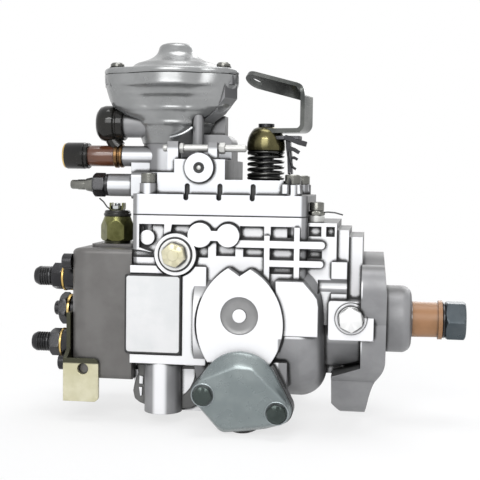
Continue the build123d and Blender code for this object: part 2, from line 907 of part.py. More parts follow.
# Cam plate: four ramps on the face towards the rollers, and two claws
with BuildPart() as cam_plate:
    with BuildSketch(cross.offset(cam_face - cam_thick)):
        Circle(cam_r)
    extrude(amount=cam_thick)
    with BuildSketch(cross.offset(cam_face)):
        with PolarLocations(roller_circle_r, 4, start_angle=45):
            Rectangle(12, 15)
        Circle(15.5, mode=Mode.SUBTRACT)
    extrude(amount=cam_lift, taper=30)
    with BuildSketch(cross.offset(cam_face)):
        Circle(driver_r)
    extrude(amount=claw_left - cam_face - 0.5)
    with BuildSketch(cross.offset(claw_left - 0.5)):
        add(claw_pair(0))
    extrude(amount=claw_len + 0.2)
cam_plate.part.label = "cam_plate"
export_step(cam_plate.part, "parts/cam_plate.step")

# Roller ring with its four rollers and the pin that reaches down into the timing piston
with BuildPart() as roller_ring:
    with BuildSketch(cross.offset(ring_left)):
        Circle(ring_r)
        Circle(ring_hole_r, mode=Mode.SUBTRACT)
    extrude(amount=ring_right - ring_left)
    with BuildSketch(cross.offset(ring_left)):
        with PolarLocations(roller_circle_r, 4, start_angle=45):
            Rectangle(roller_len + 1, 2 * roller_r + 1)
    extrude(amount=roller_r + 2.5, mode=Mode.SUBTRACT)
    with BuildSketch(Plane.XY.offset(-ring_r + 1.0)):
        with Locations((timing_x, 0)):
            Circle(ring_pin_r)
    extrude(amount=timing_z + ring_r - 1.0)
    with Locations((timing_x, 0, timing_z)):
        Sphere(pin_ball_r)
roller_ring.part.label = "roller_ring"
export_step(roller_ring.part, "parts/roller_ring.step")

with BuildPart() as ring_rollers:
    for angle in (45, 135, 225, 315):
        axis_y = math.cos(math.radians(angle))
        axis_z = math.sin(math.radians(angle))
        roller_plane = Plane(
            origin=(roller_centre, axis_y * roller_circle_r, axis_z * roller_circle_r),
            x_dir=(1, 0, 0),
            z_dir=(0, axis_y, axis_z),
        )
        with BuildSketch(roller_plane.offset(-roller_len / 2)):
            Circle(roller_r)
        extrude(amount=roller_len)
ring_rollers.part.label = "ring_rollers"
export_step(ring_rollers.part, "parts/ring_rollers.step")

# Distributor plunger with its foot, its liner in the head, and the spill ring on it
foot_right = cam_face - cam_thick
with BuildPart() as distributor_plunger:
    with BuildSketch(cross.offset(plunger_left)):
        Circle(plunger_r)
    extrude(amount=foot_right - foot_thick - plunger_left)
    with BuildSketch(cross.offset(foot_right - foot_thick)):
        Circle(foot_r)
    extrude(amount=foot_thick)
distributor_plunger.part.label = "distributor_plunger"
export_step(distributor_plunger.part, "parts/distributor_plunger.step")

with BuildPart() as distributor_barrel:
    add(ring_bar(liner_r, plunger_r + plunger_gap, liner_left, liner_right, (0, 0), cross))
distributor_barrel.part.label = "distributor_barrel"
export_step(distributor_barrel.part, "parts/distributor_barrel.step")

with BuildPart() as spill_ring:
    add(ring_bar(spill_r, plunger_r + plunger_gap, spill_left, spill_left + spill_len, (0, 0), cross))
    with BuildSketch(Plane.XY.offset(plunger_r + 0.9)):
        with Locations((spill_left + spill_len / 2, 0)):
            Circle(ball_r + 0.2)
    extrude(amount=6, mode=Mode.SUBTRACT)
spill_ring.part.label = "spill_ring"
export_step(spill_ring.part, "parts/spill_ring.step")

spring_plate_right = foot_right - foot_thick - 0.3
spring_plate_left = spring_plate_right - spring_plate_thick
spigot_right = house_left + spigot_len
with BuildPart() as plunger_springs:
    with BuildSketch(cross.offset(spring_plate_left)):
        SlotOverall(2 * spring_pair_y + 15, 15)
        Circle(plunger_r + 0.5, mode=Mode.SUBTRACT)
    extrude(amount=spring_plate_thick)
    with BuildSketch(cross.offset(spigot_right)):
        with Locations((-spring_pair_y, 0), (spring_pair_y, 0)):
            Circle(plunger_spring_r)
            Circle(plunger_spring_r - plunger_spring_wire, mode=Mode.SUBTRACT)
    extrude(amount=spring_plate_left - spigot_right)
plunger_springs.part.label = "plunger_springs"
export_step(plunger_springs.part, "parts/plunger_springs.step")

# Governor lever: hangs on the pivot bolts, its head behind the sleeve and its ball in the spill ring
ball_x = spill_left + spill_len / 2
with BuildPart() as governor_lever:
    with BuildSketch(cross.offset(pivot_x - lever_thick_x / 2)):
        with BuildLine():
            Polyline(
                (0, governor_z + 6),
                (9, governor_z + 6),
                (12, pivot_z + 6),
                (33, pivot_z + 6),
                (33, pivot_z - 6),
                (10, pivot_z - 6),
                (3.4, 16),
                (3.4, 12.2),
                (0, 12.2),
                (0, governor_z + 6),
            )
        make_face()
        mirror(about=Plane.YZ)
    extrude(amount=lever_thick_x)
    with BuildSketch(near.offset(-33)):
        with Locations((pivot_x, pivot_z)):
            Circle(6)
    extrude(amount=66)
    with BuildSketch(Plane.XY.offset(ball_z)):
        with Locations((ball_x + 0.6, 0)):
            Circle(1.6)
    extrude(amount=8)
    with Locations((ball_x, 0, ball_z)):
        Sphere(ball_r)
    with BuildSketch(near.offset(-33)):
        with Locations((pivot_x, pivot_z)):
            Circle(pivot_bolt_r - 1 + running_gap)
    extrude(amount=66, mode=Mode.SUBTRACT)
governor_lever.part.label = "governor_lever"
export_step(governor_lever.part, "parts/governor_lever.step")

# Lever pivot bolts through both walls, with washers under their heads
pivot_face = house_half + 3.5
with BuildPart() as lever_pivot_bolts:
    with BuildSketch(near.offset(chamber_half - 0.6)):
        with Locations((pivot_x, pivot_z)):
            Circle(pivot_bolt_r)
    extrude(amount=pivot_face - chamber_half + 0.6)
    with BuildSketch(near.offset(chamber_half - 8)):
        with Locations((pivot_x, pivot_z)):
            Circle(pivot_bolt_r - 1)
    extrude(amount=8)
    with BuildSketch(near.offset(pivot_face)):
        with Locations((pivot_x, pivot_z)):
            Circle(10.8)
    extrude(amount=1.5)
    with BuildSketch(near.offset(pivot_face + 1.5)):
        with Locations((pivot_x, pivot_z)):
            RegularPolygon(pivot_flats / 2, 6, major_radius=False, rotation=12)
    extrude(amount=5.5)
    mirror(about=Plane.XZ)
lever_pivot_bolts.part.label = "lever_pivot_bolts"
export_step(lever_pivot_bolts.part, "parts/lever_pivot_bolts.step")

# Distributor head with the outlets round its rear face
outlets = [
    (
        outlet_circle_r * math.cos(math.radians(45 + 90 * k - outlet_turn)),
        outlet_circle_r * math.sin(math.radians(45 + 90 * k - outlet_turn)),
    )
    for k in range(4)
]
head_screws_at = [
    (y, z) for y in (-head_screw_y, head_screw_y) for z in (head_screw_high, head_screw_low)
]
with BuildPart() as distributor_head:
    with BuildSketch(cross.offset(head_left)):
        with Locations((0, (head_top + head_low) / 2)):
            Rectangle(2 * head_half, head_top - head_low)
    extrude(amount=house_left - head_left)
    rear_uprights = distributor_head.edges().filter_by(Axis.Z).filter_by(
        lambda e: abs(e.center().X - head_left) < 0.01
    )
    fillet(rear_uprights, head_corner)
    long_edges = distributor_head.edges().filter_by(Axis.X)
    fillet(long_edges, 3)
    with BuildSketch(near.offset(-head_half)):
        with BuildLine():
            Line((head_left, head_top - head_edge), (head_left - 1, head_top + 1))
            Line((head_left - 1, head_top + 1), (head_left + head_edge, head_top))
            RadiusArc(
                (head_left + head_edge, head_top),
                (head_left, head_top - head_edge),
                -head_edge,
            )
        make_face()
    extrude(amount=2 * head_half, mode=Mode.SUBTRACT)
    with BuildSketch(Plane.XY.offset(head_top - 3)):
        with Locations((solenoid_x + 0.5, solenoid_y)):
            RectangleRounded(27, 26, 3)
    extrude(amount=solenoid_seat - head_top + 3)
    with BuildSketch(cross.offset(house_left - 1)):
        Circle(left_bore_r)
    extrude(amount=spigot_len + 1)
    with BuildSketch(cross.offset(head_left)):
        Circle(liner_r)
        with Locations(*outlets):
            Circle(outlet_thread_r)
    extrude(amount=16, mode=Mode.SUBTRACT)
    with BuildSketch(cross.offset(head_left + 16)):
        Circle(liner_r)
    extrude(amount=spigot_right - head_left - 16, mode=Mode.SUBTRACT)
    with BuildSketch(cross.offset(head_left)):
        with Locations(*head_screws_at):
            Circle(3)
    extrude(amount=house_left - head_left, mode=Mode.SUBTRACT)
    with BuildSketch(Plane.XY.offset(34)):
        with Locations((solenoid_x, solenoid_y)):
            Circle(9)
    extrude(amount=solenoid_seat - 34, mode=Mode.SUBTRACT)
    with BuildSketch(Plane.XY.offset(17)):
        with Locations((solenoid_x, solenoid_y)):
            Circle(solenoid_pin_r + running_gap)
    extrude(amount=17, mode=Mode.SUBTRACT)
distributor_head.part.label = "distributor_head"
export_step(distributor_head.part, "parts/distributor_head.step")

# Delivery valve holders: hexagon, neck and the outlet thread
with BuildPart() as delivery_holders:
    with BuildSketch(cross.offset(head_left)):
        with Locations(*outlets):
            Circle(outlet_thread_r)
    extrude(amount=16)
    with BuildSketch(cross.offset(outlet_hex_right)):
        with Locations(*outlets):
            Circle(outlet_neck_r)
    extrude(amount=head_left - outlet_hex_right)
    with BuildSketch(cross.offset(outlet_hex_left)):
        with Locations(*outlets):
            RegularPolygon(outlet_hex_flats / 2, 6, major_radius=False, rotation=30)
    extrude(amount=outlet_hex_right - outlet_hex_left)
    with BuildSketch(cross.offset(outlet_tip)):
        with Locations(*outlets):
            Circle(outlet_thread_r)
    extrude(amount=outlet_hex_left - outlet_tip)
    tip_edges = delivery_holders.edges().filter_by(GeomType.CIRCLE).filter_by(
        lambda e: abs(e.center().X - outlet_tip) < 0.01
    )
    chamfer(tip_edges, 1.2)
    with BuildSketch(cross.offset(outlet_tip)):
        with Locations(*outlets):
            Circle(outlet_bore_r)
    extrude(amount=head_left + 16 - outlet_tip, mode=Mode.SUBTRACT)
delivery_holders.part.label = "delivery_holders"
export_step(delivery_holders.part, "parts/delivery_holders.step")

with BuildPart() as head_plug:
    add(rod(8, -200, head_left, (0, 0), cross))
    with BuildSketch(cross.offset(-207)):
        RegularPolygon(9.2, 6, major_radius=False)
    extrude(amount=7)
    add(rod(4.6, -211.5, -207, (0, 0), cross))
head_plug.part.label = "head_plug"
export_step(head_plug.part, "parts/head_plug.step")

bracket_thick = 2.5
with BuildPart() as head_screws:
    for y, z in head_screws_at:
        seat = head_left
        if y < 0 and z < 0:
            seat = head_left - bracket_thick
        add(rod(3, seat, house_left + 8, (y, z), cross))
        add(rod(head_screw_r, seat - head_screw_len, seat, (y, z), cross))
        add(
            hexagon_prism(5, seat - head_screw_len, seat - head_screw_len + 3, (y, z), cross),
            mode=Mode.SUBTRACT,
        )
head_screws.part.label = "head_screws"
export_step(head_screws.part, "parts/head_screws.step")

# Rear bracket: a plate on the head's rear face and a tab bent forward along its side
with BuildPart() as rear_bracket:
    with BuildSketch(cross.offset(head_left - bracket_thick)):
        with BuildLine():
            Polyline(
                (-head_half - bracket_thick, -50.6),
                (-head_half - bracket_thick, -24.4),
                (-head_half + 4, -20),
                (-36, 2),
                (-26, 2),
                (-10, -34),
                (-22, -50.6),
                (-head_half - bracket_thick, -50.6),
            )
        make_face()
        with Locations(outlets[2]):
            Circle(outlet_neck_r + 0.4, mode=Mode.SUBTRACT)
        with Locations((-head_screw_y, head_screw_low)):
            Circle(3.0, mode=Mode.SUBTRACT)
    extrude(amount=bracket_thick)
    with BuildSketch(near.offset(head_half)):
        with Locations(((head_left - bracket_thick - 170.6) / 2, -37.5)):
            Rectangle(-170.6 - head_left + bracket_thick, 26.2)
        with Locations((-180.2, -30.7)):
            Circle(3.4, mode=Mode.SUBTRACT)
    extrude(amount=bracket_thick)
    tab_edges = rear_bracket.edges().filter_by(Axis.Y).filter_by(
        lambda e: abs(e.center().X + 170.6) < 0.01
    )
    fillet(tab_edges, 3)
rear_bracket.part.label = "rear_bracket"
export_step(rear_bracket.part, "parts/rear_bracket.step")

# Fuel shut-off solenoid
with BuildPart() as solenoid_body:
    add(rod(9, 34, solenoid_seat, (solenoid_x, solenoid_y), Plane.XY))
    add(rod(8.2, solenoid_seat, solenoid_seat + 1.6, (solenoid_x, solenoid_y), Plane.XY))
    with BuildPart(mode=Mode.PRIVATE) as solenoid_hexagon:
        with BuildSketch(Plane.XY.offset(solenoid_seat + 1.6)):
            with Locations((solenoid_x, solenoid_y)):
                RegularPolygon(solenoid_flats / 2, 6, major_radius=False, rotation=8)
        extrude(amount=solenoid_top - solenoid_seat - 1.6)
        with BuildSketch(Plane.XZ.offset(-solenoid_y)):
            with BuildLine():
                Polyline(
                    (solenoid_x, solenoid_seat + 1.6),
                    (solenoid_x + 9.2, solenoid_seat + 1.6),
                    (solenoid_x + 10.3, solenoid_seat + 3),
                    (solenoid_x + 10.3, solenoid_top - 6),
                    (solenoid_x + 8, solenoid_top),
                    (solenoid_x, solenoid_top),
                    (solenoid_x, solenoid_seat + 1.6),
                )
            make_face()
        revolve(axis=Axis((solenoid_x, solenoid_y, 0), (0, 0, 1)), mode=Mode.INTERSECT)
    add(solenoid_hexagon.part)
    with BuildSketch(Plane.XY.offset(34)):
        with Locations((solenoid_x, solenoid_y)):
            Circle(solenoid_pin_r + 0.6)
    extrude(amount=6, mode=Mode.SUBTRACT)
solenoid_body.part.label = "solenoid_body"
export_step(solenoid_body.part, "parts/solenoid_body.step")

with BuildPart() as solenoid_cap:
    add(rod(7.2, solenoid_top, solenoid_top + 3.2, (solenoid_x, solenoid_y), Plane.XY))
    add(rod(2.2, solenoid_top + 3.2, solenoid_top + 8.0, (solenoid_x, solenoid_y), Plane.XY))
    add(hexagon_prism(7, solenoid_top + 3.2, solenoid_top + 6.2, (solenoid_x, solenoid_y), Plane.XY))
solenoid_cap.part.label = "solenoid_cap"
export_step(solenoid_cap.part, "parts/solenoid_cap.step")

with BuildPart() as solenoid_plunger:
    add(rod(solenoid_pin_r, 18.5, 36, (solenoid_x, solenoid_y), Plane.XY))
solenoid_plunger.part.label = "solenoid_plunger"
export_step(solenoid_plunger.part, "parts/solenoid_plunger.step")

# Gasket and governor cover with the boost bowl on its column
corners = [
    (x, y) for x in (corner_left, corner_right) for y in (-corner_screw_y, corner_screw_y)
]
with BuildPart() as cover_gasket:
    with BuildSketch(Plane.XY.offset(split_z)):
        with Locations(((house_left + house_right) / 2, 0)):
            RectangleRounded(house_right - house_left, 2 * house_half, house_corner)
        with Locations(((chamber_left + chamber_right) / 2, 0)):
            Rectangle(chamber_right - chamber_left, 2 * chamber_half - 8, mode=Mode.SUBTRACT)
        with Locations(*corners):
            Circle(3.0, mode=Mode.SUBTRACT)
    extrude(amount=gasket_thick)
cover_gasket.part.label = "cover_gasket"
export_step(cover_gasket.part, "parts/cover_gasket.step")

fitting_at = (-10, 118)
fitting_neck_r = 5.5
fitting_seat = boost_x - 30
fitting_len = 17.5
stop_screw_at = (-32, 102.6)
boost_lugs = [
    (
        boost_x + lug_circle_r * math.cos(math.radians(lug_first + 120 * k)),
        lug_circle_r * math.sin(math.radians(lug_first + 120 * k)),
    )
    for k in range(3)
]


def boost_outline(shrink=0.0):
    """The boost housing's round flange with its three screw lugs."""
    with BuildSketch() as outline:
        with Locations((boost_x, 0)):
            Circle(boost_r - shrink)
        for lug in boost_lugs:
            with BuildSketch(mode=Mode.PRIVATE) as arm:
                with Locations(lug):
                    Circle(lug_r - shrink)
                with Locations((boost_x, 0)):
                    Circle(0.6 * boost_r)
                make_hull()
            add(arm.sketch)
    return outline.sketch


with BuildPart() as governor_cover:
    with BuildSketch(Plane.XY.offset(cover_low)):
        with Locations(((house_left + house_right) / 2, 0)):
            RectangleRounded(house_right - house_left, 2 * house_half, house_corner)
    extrude(amount=cover_flange_top - cover_low)
    with BuildSketch(near.offset(-body_half)):
        with BuildLine():
            Polyline(
                (body_left + 2, cover_flange_top - 1),
                (body_left + 2.6, cover_flange_top),
                (body_left + 4.4, body_top),
                (shelf_left, body_top),
                (shelf_left, shelf_top),
                (body_step, shelf_top),
                (body_step, cover_flange_top - 1),
                (body_left + 2, cover_flange_top - 1),
            )
        make_face()
    extrude(amount=2 * body_half)
    with BuildSketch(Plane.XY.offset(cover_flange_top - 1)):
        with Locations(((body_left + shelf_left) / 2, 0)):
            Rectangle(shelf_left - body_left, 2 * body_half - 16)
    extrude(amount=body_top - cover_flange_top + 1)
    with BuildSketch(Plane.XY.offset(cover_flange_top)):
        with Locations(((body_step + low_right) / 2, 0)):
            Rectangle(low_right - body_step, 2 * body_half)
    extrude(amount=low_top - cover_flange_top)
    with BuildSketch(Plane.XY.offset(cover_flange_top)):
        with Locations(*corners):
            Circle(5.5)
    extrude(amount=corner_seat - cover_flange_top)
    # boost column and bowl
    with BuildSketch(Plane.XZ):
        with BuildLine():
            Polyline((boost_x, body_top - 2), (boost_x + bowl_foot_r, body_top - 2), (boost_x + bowl_foot_r, 105))
            Spline(
                (boost_x + bowl_foot_r, 105),
                (boost_x + 25.4, 121),
                (boost_x + 30, 133),
                (boost_x + 35.4, 140.6),
                tangents=[(0.25, 1), (0.9, 1)],
            )
            Polyline(
                (boost_x + 35.4, 140.6),
                (boost_x + boost_r, 141.6),
                (boost_x + boost_r, boost_flange_z),
                (boost_x, boost_flange_z),
                (boost_x, body_top - 2),
            )
        make_face()
    revolve(axis=Axis((boost_x, 0, 0), (0, 0, 1)))
    with BuildSketch(Plane.XY.offset(141)):
        add(boost_outline())
    extrude(amount=boost_flange_z - 141)
    # screw bosses under the lugs, narrowing down towards the bowl
    for lug, boss_low in zip(boost_lugs, (124, 131, 131)):
        lug_plane = Plane(
            origin=(boost_x, 0, 0),
            x_dir=((lug[0] - boost_x) / lug_circle_r, lug[1] / lug_circle_r, 0),
            z_dir=(lug[1] / lug_circle_r, -(lug[0] - boost_x) / lug_circle_r, 0),
        )
        with BuildSketch(lug_plane.offset(-lug_r + 1.2)):
            with BuildLine():
                Polyline(
                    (20, 142),
                    (lug_circle_r + lug_r - 1.2, 142),
                    (lug_circle_r + lug_r - 1.2, boss_low + 9),
                    (lug_circle_r - 3, boss_low),
                    (20, boss_low - 8),
                    (20, 142),
                )
            make_face()
        extrude(amount=2 * lug_r - 2.4)
    # disc boss on the near face, posts for the stop screw
    with BuildSketch(near.offset(body_half - 6)):
        with Locations((-110.7, 91)):
            Circle(8.6)
    extrude(amount=9)
    with BuildSketch(near.offset(28)):
        with Locations((-127.4, 96.5)):
            Rectangle(6.6, 20)
        with Locations((-103.4, 100)):
            Rectangle(5.4, 12)
    extrude(amount=8)
    # bosses of the return connector and of the full-load screw
    add(rod(6.4, -164, -126, (-10, 98), cross))
    with BuildSketch(near.offset(5)):
        with Locations((-147, 92.5)):
            Rectangle(22, 9)
    extrude(amount=10)
    add(rod(7.0, -171.4, -139, (-15, 80), cross))
    with BuildSketch(cross.offset(-156)):
        with Locations((-15, 80)):
            RectangleRounded(16.5, 16.5, 3)
    extrude(amount=16)
    add(rod(9, low_top - 2, 89, (throttle_x, 0), Plane.XY))
    add(rod(8.5, fitting_seat, boost_x - 8, fitting_at, cross))
    # blocks to the right of the bowl and the upright boss on its near side
    with BuildSketch(near.offset(-14)):
        with BuildLine():
            Polyline((-118, shelf_top - 2), (-95.6, shelf_top - 2), (-95.6, 106))
            ThreePointArc((-95.6, 106), (-97.1, 109.9), (-101, 111.6))
            Polyline((-101, 111.6), (-118, 111.6), (-118, shelf_top - 2))
        make_face()
    extrude(amount=26)
    with BuildSketch(Plane.XY.offset(110)):
        with Locations((-106, 2)):
            Rectangle(9.8, 12)
    extrude(amount=13.5)
    with BuildSketch(Plane.XY.offset(shelf_top - 2)):
        with Locations((-115, -20)):
            Circle(3.4)
    extrude(amount=128.6 - shelf_top)
    # inner hollows: governor space, bowl, stem guide, throttle bore
    with BuildSketch(Plane.XY.offset(cover_low)):
        with Locations(((-136 + chamber_right + 2) / 2, 0)):
            Rectangle(chamber_right - 2 + 136, 54)
    extrude(amount=low_top - 3 - cover_low, mode=Mode.SUBTRACT)
    with BuildSketch(Plane.XZ):
        with BuildLine():
            Polyline(
                (boost_x, bowl_floor),
                (boost_x + 14, bowl_floor),
                (boost_x + 22, 122),
                (boost_x + 28, 138),
                (boost_x + diaphragm_r + 1.5, 141.5),
                (boost_x + diaphragm_r + 1.5, boost_flange_z),
                (boost_x, boost_flange_z),
                (boost_x, bowl_floor),
            )
        make_face()
    revolve(axis=Axis((boost_x, 0, 0), (0, 0, 1)), mode=Mode.SUBTRACT)
    with BuildSketch(Plane.XY.offset(low_top - 4)):
        with Locations((boost_x, 0)):
            Circle(stem_r + running_gap)
    extrude(amount=bowl_floor - low_top + 5, mode=Mode.SUBTRACT)
    with BuildSketch(Plane.XY.offset(low_top - 4)):
        with Locations((throttle_x, 0)):
            Circle(throttle_r + running_gap)
    extrude(amount=12, mode=Mode.SUBTRACT)
    with BuildSketch(Plane.XY.offset(cover_low)):
        with Locations(*corners):
            Circle(3)
    extrude(amount=corner_seat - cover_low, mode=Mode.SUBTRACT)
    with BuildSketch(Plane.XY.offset(corner_seat)):
        with Locations(*corners):
            Circle(5.4)
    extrude(amount=12, mode=Mode.SUBTRACT)
    with BuildSketch(Plane.XY.offset(boost_flange_z - 14)):
        with Locations(*boost_lugs):
            Circle(2.5)
    extrude(amount=14, mode=Mode.SUBTRACT)
    with BuildSketch(near.offset(body_half - 4)):
        with Locations((-110.7, 91)):
            Circle(2.2)
    extrude(amount=9, mode=Mode.SUBTRACT)
    # grooves over the flange on the near face
    with BuildSketch(near.offset(body_half - 2.5)):
        with Locations((-118, 76.7), (-98.4, 76.7), (-78.7, 76.7)):
            SlotOverall(10, 3, rotation=90)
    extrude(amount=8, mode=Mode.SUBTRACT)
    # seats of the air fitting, the connector, the full-load screw and the stop screw
    with BuildSketch(cross.offset(fitting_seat)):
        with Locations(fitting_at):
            Circle(fitting_neck_r)
    extrude(amount=14, mode=Mode.SUBTRACT)
    with BuildSketch(cross.offset(-164)):
        with Locations((-10, 98)):
            Circle(4.5)
    extrude(amount=12, mode=Mode.SUBTRACT)
    with BuildSketch(cross.offset(-171.4)):
        with Locations((-15, 80)):
            Circle(4)
    extrude(amount=21.4, mode=Mode.SUBTRACT)
    with BuildSketch(cross.offset(-132)):
        with Locations(stop_screw_at):
            Circle(1.9)
    extrude(amount=34, mode=Mode.SUBTRACT)
governor_cover.part.label = "governor_cover"
export_step(governor_cover.part, "parts/governor_cover.step")

with BuildPart() as cover_screws:
    for corner in corners:
        add(rod(3, split_z - 10, corner_seat, corner, Plane.XY))
        add(rod(4.75, corner_seat, corner_seat + 6, corner, Plane.XY))
        add(
            hexagon_prism(5, corner_seat + 3, corner_seat + 6, corner, Plane.XY),
            mode=Mode.SUBTRACT,
        )
cover_screws.part.label = "cover_screws"
export_step(cover_screws.part, "parts/cover_screws.step")

# Boost cover: a dome with a round cap, on the same lugs
dome_foot = boost_flange_z + 3.4
dome_top = boost_flange_z + 13
dome_hollow = boost_flange_z + 6.5
dome_foot_r = boost_r - 4.3
with BuildPart() as boost_cover:
    with BuildSketch(Plane.XY.offset(boost_flange_z)):
        add(boost_outline())
    extrude(amount=2.8)
    with BuildSketch(Plane.XY.offset(boost_flange_z + 2.8)):
        add(boost_outline(1.2))
    extrude(amount=1.2)
    with BuildSketch(Plane.XZ):
        with BuildLine():
            Polyline(
                (boost_x, boost_flange_z + 1),
                (boost_x + dome_foot_r, boost_flange_z + 1),
                (boost_x + dome_foot_r, dome_foot),
            )
            Polyline(
                (boost_x + dome_foot_r, dome_foot),
                (boost_x + 30, dome_top - 8.2),
                (boost_x + 26.5, dome_top - 6.4),
                (boost_x + 22.6, dome_top - 5),
                (boost_x + 18.6, dome_top - 3.6),
                (boost_x + 15.8, dome_top - 2.2),
                (boost_x + 13.2, dome_top - 0.6),
                (boost_x + boost_cap_r + 0.4, dome_top + 1.6),
                (boost_x + boost_cap_r, boost_top - 2.8),
                (boost_x + boost_cap_r - 1.2, boost_top - 1.4),
                (boost_x + boost_cap_r - 5, boost_top - 0.4),
                (boost_x + 3, boost_top),
                (boost_x, boost_top),
                (boost_x, boost_flange_z + 1),
            )
        make_face()
    revolve(axis=Axis((boost_x, 0, 0), (0, 0, 1)))
    with BuildSketch(Plane.XZ):
        with BuildLine():
            Polyline(
                (boost_x, boost_flange_z - 1),
                (boost_x + diaphragm_r + 1.5, boost_flange_z - 1),
                (boost_x + diaphragm_r + 1.5, boost_flange_z + 1.2),
                (boost_x + 28, boost_flange_z + 2.2),
                (boost_x + 15, dome_hollow),
                (boost_x, dome_hollow),
                (boost_x, boost_flange_z - 1),
            )
        make_face()
    revolve(axis=Axis((boost_x, 0, 0), (0, 0, 1)), mode=Mode.SUBTRACT)
    with BuildSketch(Plane.XY.offset(boost_flange_z)):
        with Locations(*boost_lugs):
            Circle(2.5)
    extrude(amount=5, mode=Mode.SUBTRACT)
boost_cover.part.label = "boost_cover"
export_step(boost_cover.part, "parts/boost_cover.step")

with BuildPart() as boost_screws:
    for lug in boost_lugs:
        add(rod(2.5, boost_flange_z - 13.5, boost_flange_z + 4, lug, Plane.XY))
        add(rod(4.6, boost_flange_z + 4, boost_flange_z + 7.6, lug, Plane.XY))
boost_screws.part.label = "boost_screws"
export_step(boost_screws.part, "parts/boost_screws.step")

with BuildPart() as boost_diaphragm:
    with BuildSketch(Plane.XZ):
        with BuildLine():
            Polyline(
                (boost_x, 88),
                (boost_x + stem_r - 1.2, 88),
                (boost_x + stem_r, 92),
                (boost_x + stem_r, 143),
                (boost_x + 20, 143),
                (boost_x + 20, 145.2),
                (boost_x + diaphragm_r, 145.2),
                (boost_x + diaphragm_r, 146.6),
                (boost_x + 18, 146.6),
                (boost_x + 18, 148.6),
                (boost_x + 5, 148.6),
                (boost_x + 5, 151.5),
                (boost_x, 151.5),
                (boost_x, 88),
            )
        make_face()
    revolve(axis=Axis((boost_x, 0, 0), (0, 0, 1)))
boost_diaphragm.part.label = "boost_diaphragm"
export_step(boost_diaphragm.part, "parts/boost_diaphragm.step")

with BuildPart() as boost_spring:
    add(ring_bar(11, 9, bowl_floor, 142.8, (boost_x, 0), Plane.XY))
boost_spring.part.label = "boost_spring"
export_step(boost_spring.part, "parts/boost_spring.step")

# Full-load screw with its lock nut
with BuildPart() as full_load_screw:
    add(rod(4, -196.3, -150, (-15, 80), cross))
    add(hexagon_prism(13, -181.4, -173.7, (-15, 80), cross))
full_load_screw.part.label = "full_load_screw"
export_step(full_load_screw.part, "parts/full_load_screw.step")

# Return connector and its protective cap
with BuildPart() as return_connector:
    add(rod(4.5, -164, -152, (-10, 98), cross))
    add(rod(7.4, -169.4, -164, (-10, 98), cross))
    add(rod(6.6, -186, -169.4, (-10, 98), cross))
return_connector.part.label = "return_connector"
export_step(return_connector.part, "parts/return_connector.step")

with BuildPart() as return_cap:
    add(rod(8.3, -202, -186, (-10, 98), cross))
return_cap.part.label = "return_cap"
export_step(return_cap.part, "parts/return_cap.step")

# Boost air fitting on the bowl's left side
with BuildPart() as boost_fitting:
    add(rod(11.2, fitting_seat - fitting_len, fitting_seat, fitting_at, cross))
    fillet(
        boost_fitting.edges().filter_by(GeomType.CIRCLE).filter_by(
            lambda e: abs(e.center().X - fitting_seat + fitting_len) < 0.01
        ),
        5,
    )
    add(rod(fitting_neck_r, fitting_seat, fitting_seat + 7, fitting_at, cross))
boost_fitting.part.label = "boost_fitting"
export_step(boost_fitting.part, "parts/boost_fitting.step")

# Pressure control valve in the block over the neck
with BuildPart() as pressure_valve:
    add(rod(3.9, 65.2, 71.6, (-41.8, -30), Plane.XY))
    with BuildSketch(Plane.XY.offset(59.6)):
        with Locations((-41.8, -30)):
            RegularPolygon(4.2, 6, major_radius=False, rotation=30)
    extrude(amount=5.6)
pressure_valve.part.label = "pressure_valve"
export_step(pressure_valve.part, "parts/pressure_valve.step")

# Shaft lock bolt in its pad
with BuildPart() as lock_bolt:
    with BuildSketch(near.offset(18)):
        with Locations(lock_at):
            Circle(4)
    extrude(amount=lock_face - 18)
    with BuildSketch(near.offset(lock_face)):
        with Locations(lock_at):
            Circle(6.2)
    extrude(amount=1.2)
    with BuildSketch(near.offset(lock_face + 1.2)):
        with Locations(lock_at):
            RegularPolygon(6.3, 6, major_radius=False, rotation=30)
    extrude(amount=5.5)
lock_bolt.part.label = "lock_bolt"
export_step(lock_bolt.part, "parts/lock_bolt.step")

# Stop screws of the throttle lever: the long one through both posts, the short one at the right
with BuildPart() as speed_screws:
    add(rod(1.9, -134, -89.5, stop_screw_at, cross))
    add(hexagon_prism(6, -100, -96.5, stop_screw_at, cross))
speed_screws.part.label = "speed_screws"
export_step(speed_screws.part, "parts/speed_screws.step")

# Throttle shaft, spring cup, spring and lever
with BuildPart() as throttle_shaft:
    add(rod(throttle_r, 81.5, throttle_top, (throttle_x, 0), Plane.XY))
throttle_shaft.part.label = "throttle_shaft"
export_step(throttle_shaft.part, "parts/throttle_shaft.step")

with BuildPart() as spring_cup:
    with BuildSketch(Plane.XZ):
        with BuildLine():
            Polyline((throttle_x + throttle_r, lever_z), (throttle_x + 6.4, lever_z))
            ThreePointArc(
                (throttle_x + 6.4, lever_z),
                (throttle_x + cup_r - 1.2, lever_z - 4.2),
                (throttle_x + cup_r, lever_z - cup_deep),
            )
            Polyline(
                (throttle_x + cup_r, lever_z - cup_deep),
                (throttle_x + cup_r - 1.2, lever_z - cup_deep),
                (throttle_x + cup_r - 2.4, lever_z - 5),
                (throttle_x + 7, lever_z - 2),
                (throttle_x + throttle_r, lever_z - 2),
                (throttle_x + throttle_r, lever_z),
            )
        make_face()
    revolve(axis=Axis((throttle_x, 0, 0), (0, 0, 1)))
spring_cup.part.label = "spring_cup"
export_step(spring_cup.part, "parts/spring_cup.step")

with BuildPart() as throttle_spring:
    add(ring_bar(11.2, 9.4, 84.3, 101.5, (throttle_x, 0), Plane.XY))
throttle_spring.part.label = "throttle_spring"
export_step(throttle_spring.part, "parts/throttle_spring.step")

